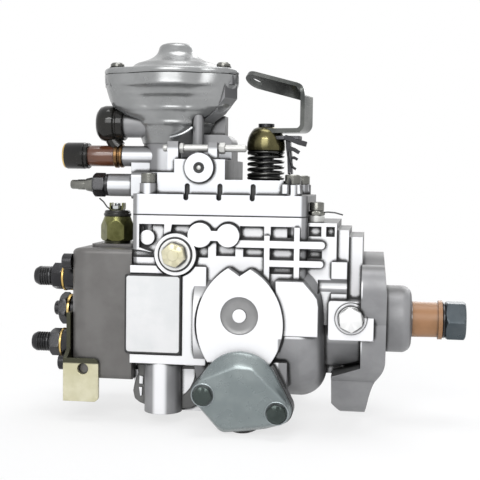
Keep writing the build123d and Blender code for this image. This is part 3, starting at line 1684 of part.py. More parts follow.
lever_reach = 28.0
lever_rise = 27.0
arm_tilt = math.radians(34)
lever_plane = Plane(
    origin=(throttle_x, 0, lever_z),
    x_dir=(math.cos(math.radians(lever_turn)), math.sin(math.radians(lever_turn)), 0),
    z_dir=(0, 0, 1),
)
with BuildPart() as throttle_lever:
    with BuildSketch(lever_plane):
        with Locations((lever_reach / 2, 0)):
            Rectangle(lever_reach, lever_width)
        Circle(9)
        Circle(throttle_r, mode=Mode.SUBTRACT)
    extrude(amount=lever_thick)
    with BuildSketch(lever_plane):
        with Locations((lever_reach - lever_thick / 2, 0)):
            Rectangle(lever_thick, lever_width)
    extrude(amount=lever_rise)
    lever_x = lever_plane.x_dir
    lever_y = Vector(-lever_x.Y, lever_x.X, 0)
    arm_start = lever_plane.origin + lever_x * lever_reach + Vector(0, 0, lever_rise)
    arm_dir = (lever_x * -1 + Vector(0, 0, 0.27)).normalized()
    arm_side = lever_y * math.cos(arm_tilt) - Vector(0, 0, 1) * math.sin(arm_tilt)
    arm_normal = arm_dir.cross(arm_side).normalized()
    arm_plane = Plane(origin=arm_start, x_dir=arm_dir, z_dir=arm_normal)
    with BuildSketch(arm_plane.offset(-lever_thick)):
        with Locations((19, 0)):
            SlotOverall(49, lever_width)
        with Locations((-4, 0)):
            Rectangle(8, lever_width, mode=Mode.SUBTRACT)
        with Locations((36, 0)):
            Circle(4, mode=Mode.SUBTRACT)
    extrude(amount=lever_thick)
throttle_lever.part.label = "throttle_lever"
export_step(throttle_lever.part, "parts/throttle_lever.step")

# Bare data plate on the near wall
with BuildPart() as data_plate:
    with BuildSketch(near.offset(plate_wall_half)):
        with Locations(plate_at):
            RectangleRounded(plate_width, plate_height, 1.5)
    extrude(amount=plate_thick)
data_plate.part.label = "data_plate"
export_step(data_plate.part, "parts/data_plate.step")

# Timing piston across the pump, its spring and the two caps with their screws
piston_len = 62.0
with BuildPart() as timing_piston:
    with BuildSketch(near.offset(-piston_len / 2)):
        with Locations((timing_x, timing_z)):
            Circle(piston_r)
    extrude(amount=piston_len)
    with BuildSketch(Plane.XY.offset(timing_z)):
        with Locations((timing_x, 0)):
            Circle(pin_ball_r + 0.08)
    extrude(amount=piston_r + 1, both=True, mode=Mode.SUBTRACT)
    with BuildSketch(near.offset(-piston_len / 2)):
        with Locations((timing_x, timing_z)):
            Circle(7.5)
    extrude(amount=14, mode=Mode.SUBTRACT)
timing_piston.part.label = "timing_piston"
export_step(timing_piston.part, "parts/timing_piston.step")

with BuildPart() as timing_spring:
    with BuildSketch(near.offset(-timing_face)):
        with Locations((timing_x, timing_z)):
            Circle(7)
            Circle(5.2, mode=Mode.SUBTRACT)
    extrude(amount=timing_face - piston_len / 2 + 13.7)
timing_spring.part.label = "timing_spring"
export_step(timing_spring.part, "parts/timing_spring.step")

with BuildPart() as timing_covers:
    with BuildSketch(near.offset(timing_face)):
        add(timing_outline(0))
    extrude(amount=timing_cap)
    cap_rim = timing_covers.edges().filter_by(
        lambda e: abs(e.center().Y + timing_face + timing_cap) < 0.01
    )
    chamfer(cap_rim, 2.2)
    with BuildSketch(near.offset(timing_face + timing_cap - 2)):
        with Locations(*timing_bolts):
            Circle(timing_lug_r - 1.2)
    extrude(amount=2, mode=Mode.SUBTRACT)
    with BuildSketch(near.offset(timing_face)):
        with Locations(*timing_bolts):
            Circle(3)
    extrude(amount=timing_cap, mode=Mode.SUBTRACT)
    mirror(about=Plane.XZ)
timing_covers.part.label = "timing_covers"
export_step(timing_covers.part, "parts/timing_covers.step")

with BuildPart() as timing_screws:
    with BuildSketch(near.offset(timing_face - 9)):
        with Locations(*timing_bolts):
            Circle(3)
    extrude(amount=7 + timing_cap)
    with BuildSketch(near.offset(timing_face + timing_cap - 2)):
        with Locations(*timing_bolts):
            Circle(5.8)
    extrude(amount=0.8)
    with BuildSketch(near.offset(timing_face + timing_cap - 1.2)):
        with Locations(*timing_bolts):
            RegularPolygon(5, 6, major_radius=False)
    extrude(amount=4.4)
    mirror(about=Plane.XZ)
timing_screws.part.label = "timing_screws"
export_step(timing_screws.part, "parts/timing_screws.step")
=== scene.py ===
import math

import bmesh
import bpy
from mathutils import Matrix, Vector


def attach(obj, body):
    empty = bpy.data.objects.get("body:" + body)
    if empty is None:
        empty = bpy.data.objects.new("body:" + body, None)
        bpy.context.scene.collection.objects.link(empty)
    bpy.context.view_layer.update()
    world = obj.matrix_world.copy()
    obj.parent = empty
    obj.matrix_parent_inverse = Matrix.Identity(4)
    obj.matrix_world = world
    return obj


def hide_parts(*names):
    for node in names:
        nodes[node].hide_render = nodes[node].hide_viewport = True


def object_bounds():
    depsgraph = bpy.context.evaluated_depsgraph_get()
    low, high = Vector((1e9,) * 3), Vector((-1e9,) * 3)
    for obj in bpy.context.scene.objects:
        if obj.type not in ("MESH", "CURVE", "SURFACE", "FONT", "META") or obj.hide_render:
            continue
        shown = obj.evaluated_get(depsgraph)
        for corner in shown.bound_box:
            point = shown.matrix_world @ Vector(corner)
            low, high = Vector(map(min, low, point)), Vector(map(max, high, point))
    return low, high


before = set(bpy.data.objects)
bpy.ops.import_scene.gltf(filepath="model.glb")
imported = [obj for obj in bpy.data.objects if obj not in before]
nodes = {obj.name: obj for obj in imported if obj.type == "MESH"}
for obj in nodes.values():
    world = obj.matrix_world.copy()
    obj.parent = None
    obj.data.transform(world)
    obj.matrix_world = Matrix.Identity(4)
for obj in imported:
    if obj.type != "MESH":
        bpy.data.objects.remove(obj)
cad_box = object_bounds()
mm = 0.001
full_turn = 2 * math.pi

# ---------------------------------------------------------------- shader nodes


def feed(tree, value, socket):
    """Give a socket a link, a colour or a number."""
    if isinstance(value, bpy.types.NodeSocket):
        tree.links.new(value, socket)
    elif isinstance(value, tuple):
        socket.default_value = (*value, 1)
    else:
        socket.default_value = value


def math_node(tree, operation, *values):
    node = tree.nodes.new("ShaderNodeMath")
    node.operation = operation
    for value, socket in zip(values, node.inputs):
        feed(tree, value, socket)
    return node.outputs[0]


def mix_shader(tree, share, first, second):
    node = tree.nodes.new("ShaderNodeMixShader")
    for value, socket in zip((share, first, second), node.inputs):
        feed(tree, value, socket)
    return node.outputs[0]


def mix_colour(tree, share, first, second):
    node = tree.nodes.new("ShaderNodeMix")
    node.data_type = "RGBA"
    for value, slot in ((share, 0), (first, 6), (second, 7)):
        feed(tree, value, node.inputs[slot])
    return node.outputs[2]


def ramp_value(tree, source, low, high, first=0.0, last=1.0):
    """A smooth step from first at low to last at high. Low may be the larger of the two."""
    node = tree.nodes.new("ShaderNodeMapRange")
    node.interpolation_type = "SMOOTHSTEP"
    for slot, value in (("Value", source), ("From Min", low), ("From Max", high),
                        ("To Min", first), ("To Max", last)):
        feed(tree, value, node.inputs[slot])
    return node.outputs[0]


def noise(tree, scale, detail, rough=0.55):
    coord = tree.nodes.new("ShaderNodeTexCoord")
    node = tree.nodes.new("ShaderNodeTexNoise")
    for slot, value in (("Vector", coord.outputs["Object"]), ("Scale", scale), ("Detail", detail),
                        ("Roughness", rough)):
        feed(tree, value, node.inputs[slot])
    return node.outputs["Fac"]


def axes(tree, kind):
    """The X, Y and Z of a texture coordinate."""
    split = tree.nodes.new("ShaderNodeSeparateXYZ")
    tree.links.new(tree.nodes.new("ShaderNodeTexCoord").outputs[kind], split.inputs[0])
    return split.outputs


def new_material(name):
    mat = bpy.data.materials.new(name)
    mat.use_nodes = True
    tree = mat.node_tree
    tree.nodes.clear()
    out = tree.nodes.new("ShaderNodeOutputMaterial")
    shader = tree.nodes.new("ShaderNodeBsdfPrincipled")
    tree.links.new(shader.outputs[0], out.inputs[0])
    return mat, tree, shader, out


# ---------------------------------------------------------------- camera and light

pump_middle = (-0.08, 0, 0.05)

cam_data = bpy.data.cameras.new("camera")
cam = bpy.data.objects.new("camera", cam_data)
bpy.context.scene.collection.objects.link(cam)
cam_data.sensor_width = 36.0
cam_data.lens = 72.1
cam_data.clip_start = 0.01
cam_data.clip_end = 20.0
cam_at = (-0.00716, -0.59689, 0.08404)
yaw, pitch, roll = math.radians(8.04), math.radians(3.57), math.radians(0.75)
look = Vector((-math.sin(yaw) * math.cos(pitch), math.cos(yaw) * math.cos(pitch), -math.sin(pitch)))
turn = look.to_track_quat("-Z", "Y").to_matrix() @ Matrix.Rotation(roll, 3, "Z")
cam.matrix_world = Matrix.Translation(cam_at) @ turn.to_4x4()
bpy.context.scene.camera = cam

world = bpy.data.worlds.new("studio")
bpy.context.scene.world = world
world.use_nodes = True
sky = world.node_tree
sky.nodes.clear()


def background(colour, strength):
    node = sky.nodes.new("ShaderNodeBackground")
    feed(sky, colour, node.inputs["Color"])
    feed(sky, strength, node.inputs["Strength"])
    return node.outputs[0]


# white where it is seen or mirrored, and a dim blue room as a light
rays = sky.nodes.new("ShaderNodeLightPath").outputs
seen = math_node(sky, "MAXIMUM", rays["Is Camera Ray"], rays["Is Transmission Ray"])
seen = math_node(sky, "MAXIMUM", seen, rays["Is Glossy Ray"])
sky_mix = mix_shader(sky, seen, background((0.9, 0.93, 1.0), 0.34), background((1.0, 1.0, 1.0), 1.0))
sky.links.new(sky_mix, sky.nodes.new("ShaderNodeOutputWorld").inputs[0])


def lamp(name, at, to, size, power):
    data = bpy.data.lights.new(name, "AREA")
    data.shape = "RECTANGLE"
    data.size, data.size_y = size
    data.energy = power
    obj = bpy.data.objects.new(name, data)
    bpy.context.scene.collection.objects.link(obj)
    aim = Vector(to) - Vector(at)
    obj.matrix_world = Matrix.Translation(at) @ aim.to_track_quat("-Z", "Y").to_matrix().to_4x4()


lamp("key", (-0.15, -1.3, 0.55), pump_middle, (0.9, 0.7), 9.2)
lamp("top", (-0.05, 0.05, 1.4), pump_middle, (0.8, 0.8), 9.0)
lamp("strip", (-0.12, -1.0, 0.78), (-0.1, 0, 0.1), (0.7, 0.05), 2.4)
lamp("back", (0.4, 1.3, 0.8), pump_middle, (0.9, 0.9), 9.0)

# ---------------------------------------------------------------- floor, white away from the pump

floor_z = cad_box[0][2]
bpy.ops.mesh.primitive_plane_add(size=6, location=(0, 0, floor_z - 0.0004))
floor = bpy.context.active_object
floor.name = "floor"

floor_mat, tree, paper, out = new_material("floor_paper")
feed(tree, (0.93, 0.93, 0.93), paper.inputs["Base Color"])
feed(tree, 0.9, paper.inputs["Roughness"])
glow = tree.nodes.new("ShaderNodeEmission")
feed(tree, 1.0, glow.inputs["Strength"])
away = tree.nodes.new("ShaderNodeVectorMath")
away.operation = "DISTANCE"
away.inputs[1].default_value = (pump_middle[0], 0, floor_z)
tree.links.new(tree.nodes.new("ShaderNodeNewGeometry").outputs["Position"], away.inputs[0])
shadow_r, white_r, shadow_white = 0.12, 0.42, 0.72
fade = ramp_value(tree, away.outputs["Value"], shadow_r, white_r, shadow_white, 1.0)
rays = tree.nodes.new("ShaderNodeLightPath").outputs
seen = math_node(tree, "MAXIMUM", rays["Is Camera Ray"], rays["Is Glossy Ray"])
white = math_node(tree, "MULTIPLY", seen, fade)
tree.links.new(mix_shader(tree, white, paper.outputs[0], glow.outputs[0]), out.inputs[0])
floor.data.materials.append(floor_mat)

# ---------------------------------------------------------------- materials

# near black painted shade for corners and crevices
corner_shade_colour = (0.02, 0.02, 0.02)


def metal(name, colour, tone, metallic, rough, grain=1400.0, bump=0.12, round_r=0.5, corner_shade=0.0, corner_shade_mm=1.6,
          rough_spread=0.12, coat=0.0, shine=0.5, painted_light=None, painted_light_top=1.0, painted_light_right=None, unlit_box=None,
          shade_up_colour=None, shade_right_colour=None, upper=None):
    """A metal with mottled colour, uneven gloss, fine surface grain, soft edges and painted shade in its
    corners.

    painted_light is painted light: the colour of faces that look along Y, below the height painted_light_top.
    painted_light_right ends it at an X, which lies farther right by its last value between its two heights.
    unlit_box is a box in X and Z without it. shade_up_colour and shade_right_colour are painted shade, the
    colours of faces that look up or right, and upper is a height with the colour over it. corner_shade is how
    far corners are darkened towards near black, painted shade, within corner_shade_mm. Places are in metres.
    """
    mat, tree, shader, _ = new_material(name)
    patches = ramp_value(tree, noise(tree, 55.0, 5.0), 0.35, 0.65)
    base = mix_colour(tree, patches, colour, tone)
    # painted light: faces that look along Y are coloured near white below a height, as if lit from the front
    if painted_light is not None:
        place = axes(tree, "Object")
        level = math_node(tree, "ABSOLUTE", axes(tree, "Normal")["Y"])
        share = math_node(tree, "MULTIPLY", ramp_value(tree, level, 0.90, 0.985),
                          ramp_value(tree, place["Z"], painted_light_top + 0.002, painted_light_top))
        # the painted light ends at an X, which lies farther right between two heights
        if painted_light_right is not None:
            edge, pad_low, pad_high, pad_reach = painted_light_right
            on_pad = math_node(tree, "MULTIPLY", ramp_value(tree, place["Z"], pad_low - 0.0003, pad_low),
                               ramp_value(tree, place["Z"], pad_high + 0.0003, pad_high))
            shifted = math_node(tree, "MULTIPLY_ADD", on_pad, -pad_reach, place["X"])
            share = math_node(tree, "MULTIPLY", share, ramp_value(tree, shifted, edge + 0.0004, edge))
        # no painted light inside this box
        if unlit_box is not None:
            left, right, low, high = unlit_box
            inside = 1.0
            for axis, value, soft in (("X", left, 0.001), ("X", right, -0.001),
                                      ("Z", low, 0.001), ("Z", high, -0.001)):
                step = ramp_value(tree, place[axis], value, value + soft)
                inside = math_node(tree, "MULTIPLY", inside, step)
            share = math_node(tree, "MULTIPLY", share, math_node(tree, "SUBTRACT", 1.0, inside))
        base = mix_colour(tree, share, base, painted_light)
    if upper is not None:
        over = ramp_value(tree, axes(tree, "Object")["Z"], upper[0] - 0.001, upper[0])
        base = mix_colour(tree, over, base, upper[1])
    # painted shade: faces that look up or right are coloured darker
    for axis, tint in (("Z", shade_up_colour), ("X", shade_right_colour)):
        if tint is not None:
            base = mix_colour(tree, ramp_value(tree, axes(tree, "Normal")[axis], 0.70, 0.93), base, tint)
    # painted shade: corners and crevices are darkened towards near black by ambient occlusion
    if corner_shade > 0:
        hollow = tree.nodes.new("ShaderNodeAmbientOcclusion")
        hollow.samples = 12
        feed(tree, corner_shade_mm * mm, hollow.inputs["Distance"])
        clear = ramp_value(tree, hollow.outputs["AO"], 0.70, 0.90)
        base = mix_colour(tree, math_node(tree, "MULTIPLY_ADD", clear, -corner_shade, corner_shade), base, corner_shade_colour)
    gloss = tree.nodes.new("ShaderNodeMapRange")
    for slot, value in (("Value", noise(tree, 120.0, 6.0)), ("To Min", max(0.05, rough - rough_spread)),
                        ("To Max", rough + rough_spread)):
        feed(tree, value, gloss.inputs[slot])
    relief = tree.nodes.new("ShaderNodeBump")
    for slot, value in (("Strength", bump), ("Distance", 0.0002), ("Height", noise(tree, grain, 3.0, 0.6))):
        feed(tree, value, relief.inputs[slot])
    if round_r > 0:
        edge = tree.nodes.new("ShaderNodeBevel")
        edge.samples = 4
        feed(tree, round_r * mm, edge.inputs["Radius"])
        tree.links.new(edge.outputs[0], relief.inputs["Normal"])
    for slot, value in (("Base Color", base), ("Metallic", metallic), ("Specular IOR Level", shine),
                        ("Roughness", gloss.outputs[0]), ("Normal", relief.outputs[0])):
        feed(tree, value, shader.inputs[slot])
    if coat > 0:
        feed(tree, coat, shader.inputs["Coat Weight"])
        feed(tree, 0.12, shader.inputs["Coat Roughness"])
    return mat


# painted light on housing and cover faces that look along Y; painted shade on faces that look up or right and
# in corners
cast = metal("cast_aluminium_blasted", (0.24, 0.24, 0.245), (0.29, 0.29, 0.295), 0.25, 0.46,
             corner_shade=1.0, corner_shade_mm=3.0, round_r=0.7, painted_light=(0.84, 0.84, 0.85),
             painted_light_right=(-0.0139, -0.0083, 0.0056, 0.0066), unlit_box=(-0.062, -0.034, -0.060, -0.0065),
             shade_up_colour=(0.13, 0.13, 0.13), shade_right_colour=(0.11, 0.11, 0.112))
cover_cast = metal("cast_aluminium_cover", (0.24, 0.24, 0.245), (0.28, 0.28, 0.285), 0.25, 0.44,
                   painted_light=(0.74, 0.75, 0.77), corner_shade=1.0, corner_shade_mm=3.0, round_r=0.6, painted_light_top=0.1015,
                   shade_up_colour=(0.11, 0.11, 0.11), shade_right_colour=(0.085, 0.085, 0.087))
# in the materials below, the darkening of corners is painted shade
boost_cast = metal("cast_aluminium_boost", (0.26, 0.265, 0.265), (0.31, 0.315, 0.315), 0.6, 0.26,
                   rough_spread=0.05, bump=0.03, corner_shade=0.8)
# grey without painted light, for the sheet in the shield's dish: painted shade
dish_shade_cast = metal("dish_shade_aluminium", (0.22, 0.22, 0.22), (0.27, 0.27, 0.27), 0.5, 0.4, round_r=0.0)
timing_cast = metal("cast_aluminium_timing", (0.185, 0.215, 0.218), (0.235, 0.268, 0.268), 0.45, 0.28,
                    corner_shade=0.7, round_r=0.8, bump=0.05)
dark_cast = metal("cast_aluminium_shaded", (0.10, 0.10, 0.098), (0.135, 0.135, 0.13), 0.3, 0.42, corner_shade=0.6)
timing_edge = metal("machined_seat", (0.30, 0.34, 0.35), (0.36, 0.40, 0.41), 0.6, 0.3, round_r=0.3)
bolt_steel = metal("phosphated_bolt", (0.035, 0.045, 0.042), (0.06, 0.075, 0.07), 0.8, 0.2, bump=0.05,
                   round_r=0.3)
head_cast = metal("phosphated_iron_head", (0.125, 0.12, 0.115), (0.15, 0.145, 0.14), 0.3, 0.42,
                  corner_shade=0.6, round_r=0.8)
steel = metal("ground_steel", (0.45, 0.45, 0.46), (0.55, 0.55, 0.56), 0.9, 0.3, bump=0.05, corner_shade=0.5)
black_steel = metal("black_oxide_steel", (0.025, 0.025, 0.027), (0.05, 0.05, 0.052), 0.7, 0.24,
                    bump=0.05, corner_shade=0.5, round_r=0.4)
nut_steel = metal("blued_steel_nut", (0.055, 0.07, 0.08), (0.08, 0.095, 0.105), 0.6, 0.3,
                  bump=0.06, corner_shade=0.5)
yellow_zinc = metal("pale_yellow_zinc", (0.56, 0.52, 0.34), (0.70, 0.67, 0.52), 0.55, 0.33,
                    bump=0.05, corner_shade=0.6)
bracket_zinc = metal("bracket_zinc", (0.56, 0.53, 0.35), (0.70, 0.67, 0.50), 0.55, 0.33, bump=0.05, corner_shade=0.6,
                     upper=(-0.027, (0.05, 0.05, 0.03)))
olive_zinc = metal("olive_yellow_zinc", (0.07, 0.07, 0.022), (0.20, 0.20, 0.085), 0.9, 0.18,
                   bump=0.05, corner_shade=0.8)
bright_zinc = metal("bright_zinc", (0.50, 0.52, 0.53), (0.62, 0.64, 0.65), 0.9, 0.22, bump=0.04, corner_shade=0.6)
plate_metal = metal("bare_plate", (0.68, 0.69, 0.69), (0.74, 0.74, 0.74), 0.2, 0.35, bump=0.02)
brass = metal("brass", (0.62, 0.42, 0.13), (0.75, 0.55, 0.22), 0.95, 0.28, bump=0.04, corner_shade=0.6)
bronze = metal("bearing_bronze", (0.42, 0.27, 0.12), (0.52, 0.36, 0.18), 0.9, 0.35, corner_shade=0.4)
sleeve_plastic = metal("brown_plastic_sleeve", (0.27, 0.135, 0.055), (0.34, 0.17, 0.075), 0.0, 0.42,
                       grain=700.0, bump=0.08, corner_shade=0.4, round_r=0.4)
tube_plastic = metal("dark_brown_tube", (0.085, 0.028, 0.012), (0.13, 0.045, 0.02), 0.0, 0.25,
                     bump=0.03, corner_shade=0.3, coat=0.4)
black_plastic = metal("black_plastic", (0.010, 0.010, 0.010), (0.022, 0.021, 0.018), 0.0, 0.2,
                      bump=0.04, shine=0.35)
rubber = metal("black_rubber", (0.015, 0.015, 0.015), (0.03, 0.03, 0.03), 0.0, 0.6)
# near black: the cover gasket, and the painted shadow round the data plate
gasket_and_shadow_mat = metal("gasket_paper_and_shadow", (0.02, 0.02, 0.02), (0.045, 0.045, 0.045), 0.0, 0.7)
dark_zinc = metal("dark_zinc", (0.13, 0.13, 0.12), (0.22, 0.22, 0.20), 0.85, 0.26, bump=0.05, corner_shade=0.7,
                  round_r=0.3)
dark_steel = metal("dark_steel", (0.045, 0.045, 0.048), (0.075, 0.075, 0.08), 0.8, 0.25, bump=0.05, corner_shade=0.6,
                   round_r=0.3)
brass_dark = metal("browned_brass", (0.14, 0.075, 0.03), (0.22, 0.13, 0.06), 0.9, 0.28, bump=0.04, corner_shade=0.5,
                   round_r=0.3)
lever_zinc = metal("lever_zinc", (0.075, 0.08, 0.077), (0.15, 0.155, 0.148), 0.95, 0.20, bump=0.05, corner_shade=0.4,
                   round_r=0.0)
olive_dark = metal("olive_chrome", (0.06, 0.055, 0.025), (0.15, 0.135, 0.065), 0.9, 0.2, bump=0.04, corner_shade=0.4,
                   round_r=0.0)
spring_steel = metal("spring_steel", (0.05, 0.05, 0.048), (0.09, 0.09, 0.085), 0.9, 0.22, bump=0.04,
                     corner_shade=0.8, round_r=0.0)
white_zinc = metal("white_zinc", (0.78, 0.78, 0.77), (0.86, 0.86, 0.85), 0.4, 0.35, bump=0.04, corner_shade=0.9,
                   corner_shade_mm=2.4, round_r=0.4)
pale_zinc = metal("pale_zinc", (0.50, 0.50, 0.48), (0.60, 0.60, 0.58), 0.5, 0.4, bump=0.04, corner_shade=0.5,
                  round_r=0.3)
gloss_black = metal("gloss_black", (0.006, 0.006, 0.006), (0.014, 0.013, 0.011), 0.0, 0.12, rough_spread=0.05,
                    bump=0.02, round_r=0.4, shine=0.35)

finish = {
    "pump_housing": cast, "governor_cover": cover_cast, "boost_cover": boost_cast,
    "timing_covers": timing_cast, "distributor_head": head_cast, "delivery_holders": black_steel,
    "head_plug": black_steel, "head_screws": black_steel, "rear_bracket": bracket_zinc,
    "lever_pivot_bolts": yellow_zinc, "cover_screws": bright_zinc, "boost_screws": olive_zinc,
    "solenoid_body": olive_zinc, "solenoid_cap": black_plastic, "cover_gasket": gasket_and_shadow_mat,
    "full_load_screw": black_steel, "return_connector": tube_plastic, "return_cap": black_plastic,
    "boost_fitting": black_plastic, "pressure_valve": steel, "lock_bolt": bright_zinc,
    "speed_screws": bright_zinc, "throttle_spring": black_steel, "data_plate": plate_metal,
    "timing_screws": black_steel, "taper_sleeve": sleeve_plastic, "shaft_nut": nut_steel,
    "shaft_washer": black_steel, "spring_cup": olive_zinc, "throttle_lever": bright_zinc,
    "shaft_bush": bronze, "shaft_seal": rubber, "boost_diaphragm": rubber, "throttle_shaft": black_steel,
}
for name, obj in nodes.items():
    obj.data.materials.clear()
    obj.data.materials.append(finish.get(name, steel))


# ---------------------------------------------------------------- building blocks


def new_object(name, bm, material, smooth=35):
    """A mesh object from a bmesh, smooth below the given angle between faces."""
    mesh = bpy.data.meshes.new(name)
    bmesh.ops.recalc_face_normals(bm, faces=bm.faces)
    bm.to_mesh(mesh)
    bm.free()
    mesh.polygons.foreach_set("use_smooth", [True] * len(mesh.polygons))
    mesh.set_sharp_from_angle(angle=math.radians(smooth))
    mesh.materials.append(material)
    obj = bpy.data.objects.new(name, mesh)
    bpy.context.scene.collection.objects.link(obj)
    return obj


def placed(origin, along):
    """A matrix that takes local Z to a direction, with the origin given in millimetres."""
    z = Vector(along).normalized()
    x = Vector((0, 0, 1)).cross(z) if abs(z.z) < 0.99 else Vector((1, 0, 0))
    x.normalize()
    turned = Matrix((x, z.cross(x), z)).transposed().to_4x4()
    return Matrix.Translation(Vector(origin) * mm) @ turned


def polar(radius, angle, height):
    """A point in metres from a radius and a height in millimetres."""
    return Vector((radius * mm * math.cos(angle), radius * mm * math.sin(angle), height * mm))


def add_ring(bm, frame_matrix, radii, height, start=0.0):
    """Vertices about local Z, one for each radius."""
    step = full_turn / len(radii)
    return [bm.verts.new(frame_matrix @ polar(radius, step * k + start, height))
            for k, radius in enumerate(radii)]


def bridge(bm, rings):
    """Join each closed ring of vertices to the next. A ring may be a single vertex."""
    for first, second in zip(rings, rings[1:]):
        count = max(len(first), len(second))
        for k in range(count):
            n = (k + 1) % count
            corners = (first[k % len(first)], first[n % len(first)],
                       second[n % len(second)], second[k % len(second)])
            bm.faces.new(list(dict.fromkeys(corners)))


def lathe(bm, profile, frame_matrix, steps=48):
    """Turn a profile of (radius, height) pairs in millimetres about local Z."""
    bridge(bm, [add_ring(bm, frame_matrix, [radius] * (steps if radius else 1), height)
                for radius, height in profile])


def thread_profile(radius, low, high, pitch, depth=0.55, lead=1.0):
    """The wavy outline of a thread between two heights, with plain ends."""
    points = [(radius - depth, low), (radius - depth * 0.2, low + lead * 0.6)]
    height = low + lead
    while height + pitch <= high - lead:
        points += [(radius, height), (radius, height + pitch * 0.22),
                   (radius - depth, height + pitch * 0.5), (radius - depth, height + pitch * 0.6)]
        height += pitch
    points += [(radius, height), (radius, high - lead), (radius - depth, high)]
    return points


def hexagon_radii(flats, steps):
    """How far the sides of a hexagon lie from its middle, in evenly spaced directions."""
    inside = [(full_turn * k / steps + math.pi / 6) % (math.pi / 3) - math.pi / 6 for k in range(steps)]
    return [flats / 2 / math.cos(angle) for angle in inside]


def hexagon_head(bm, flats, low, high, frame_matrix, turn=0.0, hole=0.0, steps=72):
    """A hexagon with its corners turned down as on a real nut or screw head."""
    sides = hexagon_radii(flats, steps)
    corner = flats / math.sqrt(3) * 0.995
    chamfer_r, chamfer_slope = flats / 2 * 0.985, 1.73
    height = high - low
    levels = []
    for share in (0.0, 0.04, 0.10, 0.18, 0.5, 0.82, 0.90, 0.96, 1.0):
        chamfer = chamfer_r + min(share, 1 - share) * height * chamfer_slope
        levels.append((low + share * height, [min(side, chamfer, corner) for side in sides]))
    end = [hole] * (steps if hole else 1)
    bridge(bm, [add_ring(bm, frame_matrix, radii, level, turn)
                for level, radii in [(low, end), *levels, (high, end)]])


def socket_head(bm, radius, low, high, frame_matrix, flats=5.0, steps=48, edge=0.5):
    """A cap screw's head with a hexagon socket."""
    depth = (high - low) * 0.55
    socket = hexagon_radii(flats, steps)
    lathe(bm, [(0, low), (radius, low), (radius, high - edge), (radius - edge, high)], frame_matrix, steps)
    bridge(bm, [add_ring(bm, frame_matrix, radii, height) for radii, height in (
        ([radius - edge] * steps, high), (socket, high), (socket, high - depth), ([0], high - depth))])
    bmesh.ops.remove_doubles(bm, verts=bm.verts, dist=1e-6)


def closed_sweep(bm, rings):
    """Join rings one after another and close both ends."""
    bridge(bm, rings)
    bm.faces.new(rings[0][::-1])
    bm.faces.new(rings[-1])


def directions(points):
    """The direction of a path at each of its points."""
    last = len(points) - 1
    return [(points[min(k + 1, last)] - points[max(k - 1, 0)]).normalized() for k in range(last + 1)]


def sweep(bm, path, radius, steps=14):
    """A round wire along points in millimetres."""
    points = [Vector(p) for p in path]
    rings = []
    side = None
    for point, ahead in zip(points, directions(points)):
        if side is None:
            side = ahead.orthogonal().normalized()
        side = (side - ahead * side.dot(ahead)).normalized()
        up = ahead.cross(side)
        rings.append([bm.verts.new((point + (side * math.cos(a) + up * math.sin(a)) * radius) * mm)
                      for a in [full_turn * j / steps for j in range(steps)]])
    closed_sweep(bm, rings)


def coil_points(centre, radius, low, high, turns, start=0.0, flat=0.9, per_turn=32):
    """Points of a compression spring about an upright axis, with its end turns closed."""
    points = []
    for k in range(int(turns * per_turn) + 1):
        turn = k / per_turn
        share = min(1.0, max(0.0, (turn - flat) / (turns - 2 * flat)))
        angle = start + full_turn * turn
        points.append((centre[0] + radius * math.cos(angle), centre[1] + radius * math.sin(angle),
                       low + (high - low) * share))
    return points


def strip(bm, path, sides, widths, thick):
    """A flat strip along points, with the direction and size of its width given at each of them."""
    rings = []
    points = [Vector(p) for p in path]
    for point, ahead, side, width in zip(points, directions(points), sides, widths):
        side = Vector(side)
        side = (side - ahead * side.dot(ahead)).normalized()
        up = ahead.cross(side)
        rings.append([bm.verts.new((point + side * a * width / 2 + up * b * thick / 2) * mm)
                      for a, b in ((-1, -1), (1, -1), (1, 1), (-1, 1))])
    closed_sweep(bm, rings)


def slab(name, corners, front, back, material, round_mm=0.8):
    """A plate with rounded edges and the given outline in the plane of the near wall."""
    bm = bmesh.new()
    closed_sweep(bm, [[bm.verts.new(Vector((x, y, z)) * mm) for x, z in corners] for y in (front, back)])
    return own(rounded(new_object(name, bm, material), round_mm, 3), "pump_body")


def rounded(obj, width, segments=2, angle=30):
    """Bevel an object's sharp edges and keep the flat faces flat."""
    bevel = obj.modifiers.new("bevel", "BEVEL")
    bevel.width = width * mm
    bevel.segments = segments
    bevel.limit_method = "ANGLE"
    bevel.angle_limit = math.radians(angle)
    bevel.harden_normals = True
    return obj


def own(obj, body, *replaced):
    """Ride an object on a body, in the place of the given nodes."""
    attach(obj, body)
    if replaced:
        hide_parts(*replaced)
    return obj


# ---------------------------------------------------------------- outlets, plug and rear screws

outlet_pitch_r = 29.0
for index in range(4):
    angle = math.radians(39 + 90 * index)
    along = placed((0, outlet_pitch_r * math.cos(angle), outlet_pitch_r * math.sin(angle)), (-1, 0, 0))
    bm = bmesh.new()
    hexagon_head(bm, 15.0, 199.0, 206.0, along, turn=0.35 + 0.5 * index)
    lathe(bm, [(6.0, 189.7), (8.6, 190.0), (8.6, 197.6), (7.6, 199.1)], along)
    lathe(bm, [(5.2, 205.8), (5.2, 207.0)] + thread_profile(6.0, 207.0, 216.4, 1.5)
          + [(5.0, 217.4), (4.4, 218.0), (3.2, 218.0), (2.4, 216.8), (2.3, 212.0), (0, 211.9)], along)
    own(new_object("outlet_holder_%d" % (index + 1), bm, black_steel), "pump_body", "delivery_holders")
    bm = bmesh.new()
    lathe(bm, [(6.2, 198.9), (8.9, 198.9), (8.9, 197.9), (8.7, 197.7)], along)
    own(new_object("outlet_ring_%d" % (index + 1), bm, brass), "pump_body")

